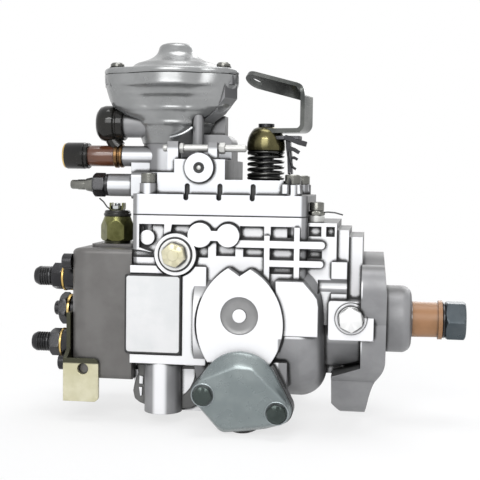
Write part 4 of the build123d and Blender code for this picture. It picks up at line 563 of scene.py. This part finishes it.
along = placed((0, 0, 0), (-1, 0, 0))
bm = bmesh.new()
lathe(bm, [(7.0, 189.8), (7.9, 190.1), (7.9, 199.4), (7.0, 200.0)], along)
hexagon_head(bm, 18.0, 201.6, 207.0, along, turn=0.2)
lathe(bm, [(4.6, 206.9), (4.6, 210.6), (4.0, 211.3), (1.8, 211.3), (1.6, 210.0), (0, 209.9)], along)
own(new_object("head_plug_body", bm, black_steel), "pump_body", "head_plug")
bm = bmesh.new()
lathe(bm, [(7.2, 200.0), (9.1, 200.1), (9.3, 200.9), (9.1, 201.6), (7.2, 201.7)], along)
own(new_object("head_plug_ring", bm, brass), "pump_body", "head_plug")

# the near lower screw sits on the bracket, the others on the head
bm = bmesh.new()
for y in (-31.0, 31.0):
    for z in (33.0, -29.0):
        seat = 192.5 if y < 0 and z < 0 else 190.0
        socket_head(bm, 4.9, seat, seat + 6.0, placed((0, y, z), (-1, 0, 0)))
own(new_object("head_cap_screws", bm, black_steel), "pump_body", "head_screws")

# ---------------------------------------------------------------- shaft nut and washer

along = placed((0, 0, 0), (1, 0, 0))
bm = bmesh.new()
hexagon_head(bm, 22.0, 36.0, 48.0, along, turn=math.pi / 6, hole=6.4)
own(new_object("shaft_nut_hexagon", bm, nut_steel), "drive", "shaft_nut")
bm = bmesh.new()
lathe(bm, [(6.6, 34.1), (10.7, 34.1), (11.0, 34.5), (11.0, 35.4), (10.6, 35.9), (6.6, 35.9)], along)
own(new_object("spring_washer", bm, black_steel), "drive", "shaft_washer")

# ---------------------------------------------------------------- cover and boost screws

bm = bmesh.new()
for x in (-141.5, -55.5):
    for y in (-36.5, 36.5):
        socket_head(bm, 4.75, 81.5, 87.5, placed((x, y, 0), (0, 0, 1)))
own(new_object("cover_cap_screws", bm, dark_zinc), "pump_body", "cover_screws")

boost_x, boost_r = -133.0, 38.0
boost_axis = placed((boost_x, 0, 0), (0, 0, 1))
first_lug, lug_step = math.radians(-30), math.radians(120)

bm = bmesh.new()
for k in range(3):
    a = first_lug + lug_step * k
    at = placed((boost_x + boost_r * math.cos(a), boost_r * math.sin(a), 0), (0, 0, 1))
    lathe(bm, [(0, 150.9), (4.9, 151.0), (4.9, 151.8), (3.4, 151.9)], at, 32)
    lathe(bm, [(3.9, 151.9), (4.3, 152.3), (4.2, 153.6), (3.3, 154.5), (1.2, 154.6), (1.0, 153.6),
               (0, 153.6)], at, 32)
own(new_object("boost_cover_screws", bm, dark_zinc), "pump_body", "boost_screws")

# ---------------------------------------------------------------- boost cover, a dome with three lugs

boost_steps = 288


def lug_radii(between, lug, wide):
    """Radii about the boost axis that swell from one value to another at the three lugs."""
    flat = math.radians(3.5)
    radii = []
    for k in range(boost_steps):
        off = abs((full_turn * k / boost_steps - first_lug + lug_step / 2) % lug_step - lug_step / 2)
        swell = 0.5 + 0.5 * math.cos(math.pi * min(1.0, max(0.0, off - flat) / math.radians(wide)))
        radii.append(between + (lug - between) * swell)
    return radii


dome = [(0, 168.5), (5.0, 168.5), (7.6, 168.2), (9.3, 167.6), (10.4, 166.7), (11.0, 165.4), (11.4, 163.9),
        (12.0, 162.5), (13.0, 161.2), (14.6, 159.8), (16.8, 158.5), (19.4, 157.3), (22.2, 156.3),
        (24.6, 155.6), (26.0, 154.9), (27.2, 153.8), (28.8, 152.7), (30.6, 151.8), (32.4, 151.3)]
rim = [(1.9, 151.1), (1.0, 150.9), (0.35, 150.3), (0.0, 149.4), (0.0, 148.0), (0.5, 147.1), (3.0, 147.0)]
lug_r, lug_wide = 45.2, 27.0
bm = bmesh.new()
rings = [add_ring(bm, boost_axis, [radius] * (boost_steps if radius else 1), height)
         for radius, height in dome]
rings += [add_ring(bm, boost_axis, lug_radii(boost_r - inset, lug_r - inset, lug_wide), height)
          for inset, height in rim]
bridge(bm, rings)
own(new_object("boost_cover_casting", bm, boost_cast, 60), "pump_body", "boost_cover")

# the bowl under it: three-cornered below the lugs, round at its neck, with low rings round it


def line_value(points, place):
    """The value of a broken line at a place, level beyond its ends."""
    for (a, u), (b, v) in zip(points, points[1:]):
        if a <= place <= b:
            return u + (v - u) * (place - a) / (b - a)
    return points[0][1] if place < points[0][0] else points[-1][1]


round_line = [(105, 20.4), (121, 25.8), (133, 30.5), (139.4, 35.4), (140.4, 37.4), (141.2, boost_r),
              (147, boost_r)]
corner_line = [(105, 20.4), (119, 25.0), (123.5, 34.0), (128, 40.0), (132, 42.0), (137, 43.6), (141, 44.6),
               (142.5, 45.0), (147, lug_r)]
wide_line = [(122, 36.0), (132, 34.0), (141, 29.0), (147, lug_wide)]
ridges = ((140.0, 0.5), (135.4, 0.8), (126.6, 0.8), (118.1, 0.8))
bm = bmesh.new()
rings = []
for height in [147.0, 146.6, 146.0, 144.0, 142.6, 142.0, 141.5] + [141.0 - 0.5 * k for k in range(71)]:
    between = line_value(round_line, height)
    between += sum(rise * math.exp(-((height - ridge) / 1.3) ** 2) for ridge, rise in ridges)
    corner = max(between, line_value(corner_line, height))
    rings.append(add_ring(bm, boost_axis, lug_radii(between, corner, line_value(wide_line, height)), height))
bridge(bm, rings)
own(new_object("boost_bowl_skin", bm, boost_cast, 60), "pump_body")

# painted highlight: a bright bead along the cast edge where the bowl meets the block before it
bm = bmesh.new()
sweep(bm, [(-131.7, -23.6, 109.4), (-129.2, -24.3, 109.8), (-126.4, -24.6, 110.5), (-123.6, -24.6, 111.6),
           (-120.8, -24.4, 113.2), (-118.0, -24.0, 115.4)], 0.9, 10)
own(new_object("bowl_foot_highlight", bm, bright_zinc, 60), "pump_body")

# ---------------------------------------------------------------- bolts of the near and far walls

both_walls = ((-1, "near"), (1, "far"))
face = 45.5
timing_x, timing_z = -81.9, -43.4
for side, tag in both_walls:
    at = placed((-123.4, 0, 39.9), (0, side, 0))
    bm = bmesh.new()
    hexagon_head(bm, 12.6, face + 1.3, face + 7.0, at, turn=0.2)
    lathe(bm, [(0, face + 6.9), (3.4, face + 7.0), (3.1, face + 7.25), (0, face + 7.3)], at, 32)
    own(new_object("lever_pivot_bolt_" + tag, bm, yellow_zinc), "pump_body", "lever_pivot_bolts")
    bm = bmesh.new()
    lathe(bm, [(5.2, face), (9.0, face), (9.3, face + 0.3), (9.3, face + 1.1), (8.9, face + 1.4),
               (5.2, face + 1.4)], at)
    own(new_object("lever_pivot_washer_" + tag, bm, white_zinc), "pump_body", "lever_pivot_bolts")
    bm = bmesh.new()
    lathe(bm, [(9.2, face - 0.1), (9.3, face + 0.3), (9.9, face + 0.35), (10.3, face + 0.2),
               (10.3, face - 0.1)], at)
    own(new_object("lever_pivot_seal_" + tag, bm, rubber), "pump_body")
    bm = bmesh.new()
    for s in (-1, 1):
        arm, turn = s * 21.7, math.radians(-11.5)
        at = placed((timing_x + arm * math.cos(turn), 0, timing_z + arm * math.sin(turn)), (0, side, 0))
        lathe(bm, [(0, 61.1), (5.6, 61.1), (5.8, 61.4), (5.8, 61.7), (4.8, 61.9)], at, 40)
        hexagon_head(bm, 10.0, 61.8, 65.2, at, turn=0.3 + s)
    own(new_object("timing_cover_bolts_" + tag, bm, bolt_steel), "pump_body", "timing_screws")

at = placed((-20.2, 0, 5.2), (0, -1, 0))
bm = bmesh.new()
lathe(bm, [(4.0, 44.8), (6.9, 44.8), (7.1, 45.1), (7.1, 45.7), (6.8, 46.0), (4.0, 46.0)], at)
hexagon_head(bm, 12.6, 46.0, 51.5, at, turn=0.1)
own(new_object("shaft_lock_bolt", bm, white_zinc), "pump_body", "lock_bolt")

# ---------------------------------------------------------------- foot casting, pads and neck

# the foot is coloured with the shaded cast, painted shade; its patch and two strips take the lit cast,
# painted light
slab("foot_casting", [(-148.7, -34.0), (-150.6, -39.0), (-151.7, -44.9), (-150.7, -49.7), (-147.6, -52.0),
                      (-142.8, -53.8), (-141.2, -56.3), (-131.4, -55.0), (-116.0, -54.3), (-109.9, -50.7),
                      (-104.0, -36.0), (-104.0, -28.0), (-149.2, -28.0)], -32.5, -16.0, dark_cast, 1.2)
slab("foot_patch", [(-121.4, -29.8), (-112.4, -29.7), (-112.8, -33.6), (-113.9, -37.6), (-116.0, -41.7),
                    (-118.4, -44.6), (-121.4, -47.0)], -33.3, -31.0, cast, 0.4)
slab("foot_strip_upper", [(-147.6, -35.1), (-144.8, -35.6), (-145.0, -40.6), (-147.8, -40.4)],
     -33.1, -31.0, cast, 0.4)
slab("foot_strip_lower", [(-148.0, -42.1), (-145.4, -42.2), (-145.7, -47.6), (-147.1, -48.2)],
     -33.1, -31.0, cast, 0.4)
slab("neck_pad", [(-64.0, 26.4), (-47.6, 26.4), (-41.6, 19.6), (-39.4, 16.6), (-38.6, 12.0), (-38.6, -5.8),
                  (-64.0, -5.8)], -49.2, -36.0, cast, 0.8)

# ---------------------------------------------------------------- turned dish in the middle of the shield, lined with a grey sheet of painted shade

at = placed((-84.2, 0, 5.6), (0, -1, 0))
bm = bmesh.new()
lathe(bm, [(4.15, 49.75), (4.2, 50.1), (5.4, 50.0), (8.2, 50.0), (10.2, 50.15), (10.85, 50.6),
           (10.9, 49.75)], at, 72)
own(new_object("shield_dish_shade", bm, dish_shade_cast, 60), "pump_body")

# ---------------------------------------------------------------- painted shadow: a dark border round the bare plate

bm = bmesh.new()
plate_low, plate_high, plate_r = Vector((-153.3, 0, -19.0)), Vector((-120.3, 0, 27.2)), 1.6
rings = []
for grow, front in ((-0.5, -44.95), (0.15, -44.95), (0.55, -44.5), (0.55, -43.9)):
    inset = Vector((plate_r - grow, 0, plate_r - grow))
    low, high = plate_low + inset, plate_high - inset
    rings.append([])
    for x, z, first in ((high.x, high.z, 0), (low.x, high.z, 90), (low.x, low.z, 180), (high.x, low.z, 270)):
        for k in range(7):
            a = math.radians(first + 15 * k)
            corner = Vector((x + plate_r * math.cos(a), front, z + plate_r * math.sin(a)))
            rings[-1].append(bm.verts.new(corner * mm))
bridge(bm, rings)
own(new_object("plate_shadow_border", bm, gasket_and_shadow_mat), "pump_body")

# ---------------------------------------------------------------- timing covers, sloped to a flat face


def hull(points):
    """The convex outline of points in a plane, anticlockwise."""
    points = sorted(set(points))
    sides = []
    for order in (points, points[::-1]):
        chain = []
        for p in order:
            while len(chain) > 1 and ((chain[-1][0] - chain[-2][0]) * (p[1] - chain[-2][1])
                                      - (chain[-1][1] - chain[-2][1]) * (p[0] - chain[-2][0])) <= 0:
                chain.pop()
            chain.append(p)
        sides += chain[:-1]
    return sides


def reach(outline, centre, count):
    """How far a convex outline lies from a centre, in evenly spaced directions."""
    found = []
    for k in range(count):
        a = full_turn * k / count
        d = (math.cos(a), math.sin(a))
        best = 0.0
        for p, q in zip(outline, outline[1:] + outline[:1]):
            e = (q[0] - p[0], q[1] - p[1])
            cross = d[0] * e[1] - d[1] * e[0]
            if abs(cross) < 1e-9:
                continue
            w = (p[0] - centre[0], p[1] - centre[1])
            t = (w[0] * e[1] - w[1] * e[0]) / cross
            u = (w[0] * d[1] - w[1] * d[0]) / cross
            if t > 0 and -1e-6 <= u <= 1 + 1e-6:
                best = max(best, t)
        found.append(best)
    return found


def circle_points(x, z, radius, count=40):
    """Points on a circle, rounded so that equal ones are found."""
    return [(round(x + radius * math.cos(full_turn * k / count), 4),
             round(z + radius * math.sin(full_turn * k / count), 4)) for k in range(count)]


middle = (-82.9, -38.4)
seat_x, seat_z = 21.26, -4.33
base_points = circle_points(middle[0], middle[1] + 1, 23.0)
for s in (-1, 1):
    base_points += circle_points(timing_x + s * seat_x, timing_z + s * seat_z, 8.0)
for x, z in ((20.5, -9.0), (-8.0, -17.0), (14.0, -14.0)):
    base_points += circle_points(middle[0] + x, middle[1] + z, 6.0)
face_points = []
for x, z in ((-104.6, -38.6), (-101.4, -34.2), (-84.0, -27.2), (-77.0, -27.4), (-61.2, -42.6), (-61.0, -46.6),
             (-67.5, -50.2), (-88.5, -53.0), (-92.0, -52.2)):
    face_points += circle_points(x, z, 5.0, 24)
count = 144
base = reach(hull(base_points), middle, count)
face = reach(hull(face_points), middle, count)
for side, tag in both_walls:
    bm = bmesh.new()
    rings = []
    for share, inset, depth in ((0, 0.0, 53.1), (0, 0.0, 56.2), (0, 0.5, 57.0), (0.25, 0.4, 58.4),
                                (0.6, 0.2, 60.0), (0.9, 0.0, 61.4), (1.0, 0.5, 61.9), (1.0, 1.2, 62.0)):
        ring = []
        for k in range(count):
            a = full_turn * k / count
            top = max(0.0, min(base[k], max(face[k], 1.0)))
            radius = base[k] + (top - base[k]) * share - inset
            ring.append(bm.verts.new(Vector((middle[0] + radius * math.cos(a), side * depth,
                                             middle[1] + radius * math.sin(a))) * mm))
        rings.append(ring)
    bridge(bm, rings)
    bm.faces.new(rings[-1])
    own(new_object("timing_cover_plate_" + tag, bm, timing_cast, 40), "pump_body", "timing_covers")
    bm = bmesh.new()
    for s in (-1, 1):
        at = placed((timing_x + s * seat_x, 0, timing_z + s * seat_z), (0, side, 0))
        lathe(bm, [(6.9, 60.0), (6.9, 62.1), (6.5, 62.3), (6.1, 62.1), (5.9, 61.2), (0, 61.2)], at, 48)
    own(new_object("timing_bolt_seats_" + tag, bm, timing_edge, 40), "pump_body")

# ---------------------------------------------------------------- pressure valve over the neck

at = placed((-41.8, -30, 0), (0, 0, 1))
bm = bmesh.new()
lathe(bm, [(4.3, 59.5), (4.7, 59.8), (4.7, 63.2), (4.2, 63.9)], at, 40)
own(new_object("pressure_valve_seat", bm, pale_zinc), "pump_body", "pressure_valve")
bm = bmesh.new()
hexagon_head(bm, 8.4, 63.8, 66.4, at, turn=math.pi / 6)
lathe(bm, [(3.6, 66.3), (4.3, 66.8), (4.3, 71.0), (4.0, 71.6), (2.6, 71.8), (2.2, 71.2), (0, 71.2)], at, 40)
own(new_object("pressure_valve_body", bm, dark_zinc), "pump_body", "pressure_valve")
bm = bmesh.new()
sweep(bm, [(-38.4, -30, 65.6), (-35.0, -30, 65.9), (-31.0, -30, 65.6), (-26.4, -30, 64.4)], 0.45, 10)
own(new_object("pressure_valve_clip", bm, black_steel), "pump_body", "pressure_valve")

# ---------------------------------------------------------------- stop screw, full-load screw

at = placed((0, -32, 102.6), (1, 0, 0))
bm = bmesh.new()
lathe(bm, [(0, -134.0), (1.7, -134.0), (2.2, -133.4), (2.2, -84.6), (1.6, -83.8), (0, -83.8)], at, 32)
own(new_object("stop_screw_rod", bm, pale_zinc), "pump_body", "speed_screws")
bm = bmesh.new()
hexagon_head(bm, 6.0, -100.0, -96.5, at, turn=0.2, hole=2.1, steps=48)
hexagon_head(bm, 6.0, -123.9, -121.4, at, turn=0.6, hole=2.1, steps=48)
own(new_object("stop_screw_nuts", bm, pale_zinc), "pump_body", "speed_screws")

at = placed((0, -15, 80), (-1, 0, 0))
bm = bmesh.new()
lathe(bm, [(4.9, 181.2), (4.7, 182.4), (4.2, 184.6), (3.9, 186.2), (3.3, 187.0), (3.2, 191.6), (2.9, 192.4),
           (2.9, 195.4), (2.4, 196.3), (0.9, 196.3), (0.8, 195.4), (0, 195.4)], at, 40)
own(new_object("full_load_screw_tip", bm, dark_zinc), "pump_body", "full_load_screw")
bm = bmesh.new()
hexagon_head(bm, 13.0, 173.7, 181.4, at, turn=0.1)
lathe(bm, [(5.6, 171.4), (6.9, 171.6), (6.9, 173.3), (6.0, 173.8)], at, 40)
own(new_object("full_load_screw_body", bm, black_steel), "pump_body", "full_load_screw")

# ---------------------------------------------------------------- return connector and its cap

at = placed((0, -10, 98), (-1, 0, 0))
bm = bmesh.new()
lathe(bm, [(6.2, 169.0), (6.55, 169.6), (6.55, 184.0), (6.35, 186.2)], at)
own(new_object("return_tube", bm, tube_plastic), "pump_body", "return_connector")
bm = bmesh.new()
lathe(bm, [(4.6, 163.9), (6.9, 164.0), (7.2, 164.4), (7.2, 165.6), (6.6, 166.1), (6.6, 166.7), (7.4, 167.2),
           (7.4, 168.9), (6.9, 169.4), (6.0, 169.4)], at)
own(new_object("return_collar", bm, brass_dark), "pump_body", "return_connector")
bm = bmesh.new()
lathe(bm, [(5.9, 185.9), (7.7, 186.0), (8.1, 186.5), (8.1, 187.9), (7.7, 188.4)], at)
lathe(bm, [(7.7, 188.4), (8.3, 189.0), (8.3, 199.8), (7.9, 200.8)], at)
own(new_object("return_cap_body", bm, gloss_black), "pump_body", "return_cap")
bm = bmesh.new()
lathe(bm, [(7.9, 200.8), (7.7, 201.6), (7.1, 202.0), (4.6, 202.0), (4.2, 201.4), (4.2, 198.0),
           (0, 198.0)], at)
own(new_object("return_cap_rim", bm, brass), "pump_body", "return_cap")

# ---------------------------------------------------------------- boost air fitting

at = placed((0, -10, 118), (-1, 0, 0))
bm = bmesh.new()
lathe(bm, [(5.6, 162.9), (9.8, 163.0), (10.4, 163.6), (10.4, 167.2), (9.9, 167.8), (9.9, 168.6),
           (10.9, 169.4), (11.2, 171.0), (11.2, 175.2), (10.4, 178.0), (8.2, 179.9), (5.0, 180.5),
           (0, 180.5)], at, 64)
own(new_object("boost_air_cap", bm, gloss_black), "pump_body", "boost_fitting")
bm = bmesh.new()
sweep(bm, [(-171.6, -10, 113), (-171.6, -10, 110.4), (-171.0, -10, 108.0), (-169.4, -10, 105.6),
           (-167.0, -10, 103.2)], 4.6, 24)
own(new_object("boost_air_elbow", bm, gloss_black), "pump_body")

# ---------------------------------------------------------------- solenoid terminal and wire

at = placed((-166.5, -15, 0), (0, 0, 1))
bm = bmesh.new()
lathe(bm, [(8.0, 60.7), (8.5, 61.0), (8.5, 62.3), (8.0, 62.8), (8.0, 63.6), (7.3, 64.4), (0, 64.4)], at)
own(new_object("solenoid_cap_moulding", bm, black_plastic), "pump_body", "solenoid_cap")
bm = bmesh.new()
sweep(bm, [(-171.0, -15, 64.6), (-173.4, -15, 66.4), (-175.6, -15, 69.4), (-178.2, -15, 71.6)], 0.45, 10)
own(new_object("solenoid_wire_end", bm, rubber), "pump_body", "solenoid_cap")
bm = bmesh.new()
clip_path = [(-170.4, -15, 69.0), (-170.4, -15, 65.4), (-170.0, -15, 64.6), (-169.2, -15, 64.3),
             (-163.8, -15, 64.3), (-163.0, -15, 64.6), (-162.6, -15, 65.4), (-162.6, -15, 69.0)]
strip(bm, clip_path, [(0, 1, 0)] * len(clip_path), [7.0] * len(clip_path), 0.9)
own(rounded(new_object("solenoid_clip", bm, olive_zinc), 0.2), "pump_body", "solenoid_cap")
bm = bmesh.new()
lathe(bm, thread_profile(2.0, 64.6, 68.8, 0.8, 0.3, 0.3) + [(0, 68.8)], at, 24)
hexagon_head(bm, 6.4, 64.7, 67.2, at, turn=0.3, hole=1.9, steps=48)
own(new_object("solenoid_stud", bm, bright_zinc), "pump_body", "solenoid_cap")

# ---------------------------------------------------------------- throttle lever, its spring and its top

throttle_x = -75.8
lever_turn, arm_tilt = math.radians(-17.0), math.radians(34)
reach_dir = Vector((math.cos(lever_turn), math.sin(lever_turn), 0))
wide_dir = Vector((-math.sin(lever_turn), math.cos(lever_turn), 0))
arm_slope = Vector((-reach_dir.x, -reach_dir.y, 0.27)).normalized()
arm_wide = wide_dir * math.cos(arm_tilt) - Vector((0, 0, 1)) * math.sin(arm_tilt)
lever_low, lever_top, lever_out, lever_wide, arm_len = 114.5, 138.6, 26.5, 14.0, 36.6
bend, end_r, hole_share = 4.0, 7.2, 0.8
path, sides, widths = [], [], []


def on_lever(out, height):
    return Vector((throttle_x, 0, height)) + reach_dir * out


def add_station(point, side, width=lever_wide):
    path.append(point)
    sides.append(side)
    widths.append(width)


# the round end over the shaft, the bend upwards, the bend over to the arm, and the arm's round end
for out in (-8.0, -7.6, -6.6, -4.5, 0.0, 6.0, 14.0, 20.0):
    narrow = math.sqrt(max(0.02, 1 - max(0.0, (-out - 1.0) / end_r) ** 2))
    add_station(on_lever(out, lever_low), wide_dir, lever_wide * narrow)
for k in range(9):
    a = math.pi / 2 * k / 8
    add_station(on_lever(lever_out - bend + bend * math.sin(a), lever_low + bend - bend * math.cos(a)),
                wide_dir)
add_station(on_lever(lever_out, 128.0), wide_dir)
for k in range(10):
    share = k / 9
    a = share * math.radians(105)
    add_station(on_lever(lever_out - bend + bend * math.cos(a), lever_top - bend + bend * math.sin(a)),
                (wide_dir * (1 - share) + arm_wide * share).normalized())
last = path[-1]
for share in (0.12, 0.3, 0.5, 0.7, hole_share):
    add_station(last + arm_slope * arm_len * share, arm_wide)
for k in range(1, 10):
    a = math.pi / 2 * k / 9
    add_station(last + arm_slope * (arm_len * hole_share + end_r * math.sin(a)), arm_wide,
                max(1.2, lever_wide * math.cos(a)))
bm = bmesh.new()
strip(bm, path, sides, widths, 2.8)
lever = new_object("throttle_lever_strip", bm, lever_zinc, 50)

# the oval hole in the arm, cut into the mesh
tip = last + arm_slope * arm_len * hole_share
normal = arm_slope.cross(arm_wide).normalized()
bm = bmesh.new()
hole_at = (Matrix.Translation(tip * mm) @ Matrix((arm_slope, arm_wide, normal)).transposed().to_4x4()
           @ Matrix.Scale(1.35, 4, (1, 0, 0)))
lathe(bm, [(0, -6), (3.1, -6), (3.1, 6), (0, 6)], hole_at, 40)
cutter = new_object("lever_hole_cutter", bm, lever_zinc)
cut = lever.modifiers.new("hole", "BOOLEAN")
cut.object = cutter
cut.operation = "DIFFERENCE"
cut.solver = "EXACT"
bpy.context.view_layer.update()
baked = bpy.data.meshes.new_from_object(lever.evaluated_get(bpy.context.evaluated_depsgraph_get()))
lever.modifiers.clear()
lever.data = baked
bpy.data.objects.remove(cutter)
rounded(lever, 0.45, 3, 40)
own(lever, "throttle", "throttle_lever")

at = placed((throttle_x, 0, 0), (0, 0, 1))
bm = bmesh.new()
lathe(bm, [(5.1, 102.2), (10.9, 102.2), (11.9, 102.6), (12.0, 104.6), (11.8, 107.4), (11.2, 110.2),
           (10.2, 112.6), (8.8, 114.8), (6.8, 116.4), (4.2, 117.2), (0, 117.4)], at, 64)
own(new_object("spring_cup_dome", bm, olive_dark), "throttle", "spring_cup")
bm = bmesh.new()
sweep(bm, coil_points((throttle_x, 0), 10.6, 85.4, 101.4, 6.5, 0.6), 1.05, 12)
own(new_object("throttle_return_spring", bm, spring_steel), "pump_body", "throttle_spring")

# stop arm that turns with the lever
bm = bmesh.new()
arm_path = [on_lever(o, 110.2) for o in (6.0, 12.0, 18.0, 23.0)]
strip(bm, arm_path, [wide_dir] * 4, [13.0, 12.0, 9.0, 5.0], 2.4)
own(rounded(new_object("throttle_stop_arm", bm, dark_steel), 0.4), "throttle")

# dark linkage between the spring and the cover's right end
bm = bmesh.new()
strip(bm, [(-63.4, -5, 110.4), (-59.5, -5, 109.4), (-55.0, -5, 107.6), (-50.2, -5, 106.4)], [(0, 1, 0)] * 4,
      [12.0, 10.0, 7.0, 3.0], 3.2)
strip(bm, [(-61.6, -4, 109.6), (-61.2, -4, 104.0), (-60.4, -4, 98.0), (-60.0, -4, 88.0)], [(0, 1, 0)] * 4,
      [9.0, 8.0, 6.0, 6.0], 3.0)
strip(bm, [(-61.0, -5, 104.2), (-57.6, -5, 103.0), (-54.6, -5, 101.2)], [(0, 1, 0)] * 3, [6.0, 4.0, 1.6], 2.4)
strip(bm, [(-60.6, -5, 97.8), (-57.6, -5, 98.2), (-55.6, -5, 97.0)], [(0, 1, 0)] * 3, [5.0, 4.0, 1.6], 1.8)
own(rounded(new_object("stop_linkage", bm, dark_steel), 0.3), "pump_body")
bm = bmesh.new()
sweep(bm, [(-60.4, -9, 101.6), (-59.6, -10, 96.0), (-58.2, -12, 92.4), (-56.0, -12, 91.0)], 0.8, 10)
sweep(bm, [(-57.8, -34, 88.2), (-57.2, -38, 87.4), (-57.0, -41.7, 84.0), (-56.9, -41.8, 76.0)], 0.6, 10)
own(new_object("stop_linkage_wire", bm, black_steel), "pump_body")

# ---------------------------------------------------------------- corner pads of the cover's right end

for side, tag in both_walls:
    slab("cover_corner_pad_" + tag, [(-61.8, 75.7), (-50.2, 75.7), (-50.8, 82.1), (-61.8, 82.1)],
         side * 41.1, side * 32.7, cover_cast, 0.9)

# ---------------------------------------------------------------- ring and pin in the cover's round boss

bm = bmesh.new()
at = placed((-110.7, 0, 91), (0, -1, 0))
lathe(bm, [(1.5, 40.0), (1.5, 41.1), (1.8, 41.3), (2.9, 41.3), (3.3, 41.0), (3.3, 40.8)], at, 40)
own(new_object("cover_disc_ring", bm, rubber), "pump_body")
bm = bmesh.new()
lathe(bm, [(1.5, 40.2), (1.4, 41.0), (0.9, 41.35), (0, 41.4)], at, 24)
own(new_object("cover_disc_pin", bm, pale_zinc), "pump_body")

# ---------------------------------------------------------------- spring inside the boost bowl

bm = bmesh.new()
sweep(bm, coil_points((boost_x, 0), 10.0, 114.0, 141.8, 6.5, 0.2), 1.0, 10)
own(new_object("boost_return_spring", bm, spring_steel), "pump_body", "boost_spring")

# ---------------------------------------------------------------- close

bpy.context.scene.view_settings.view_transform = "Standard"
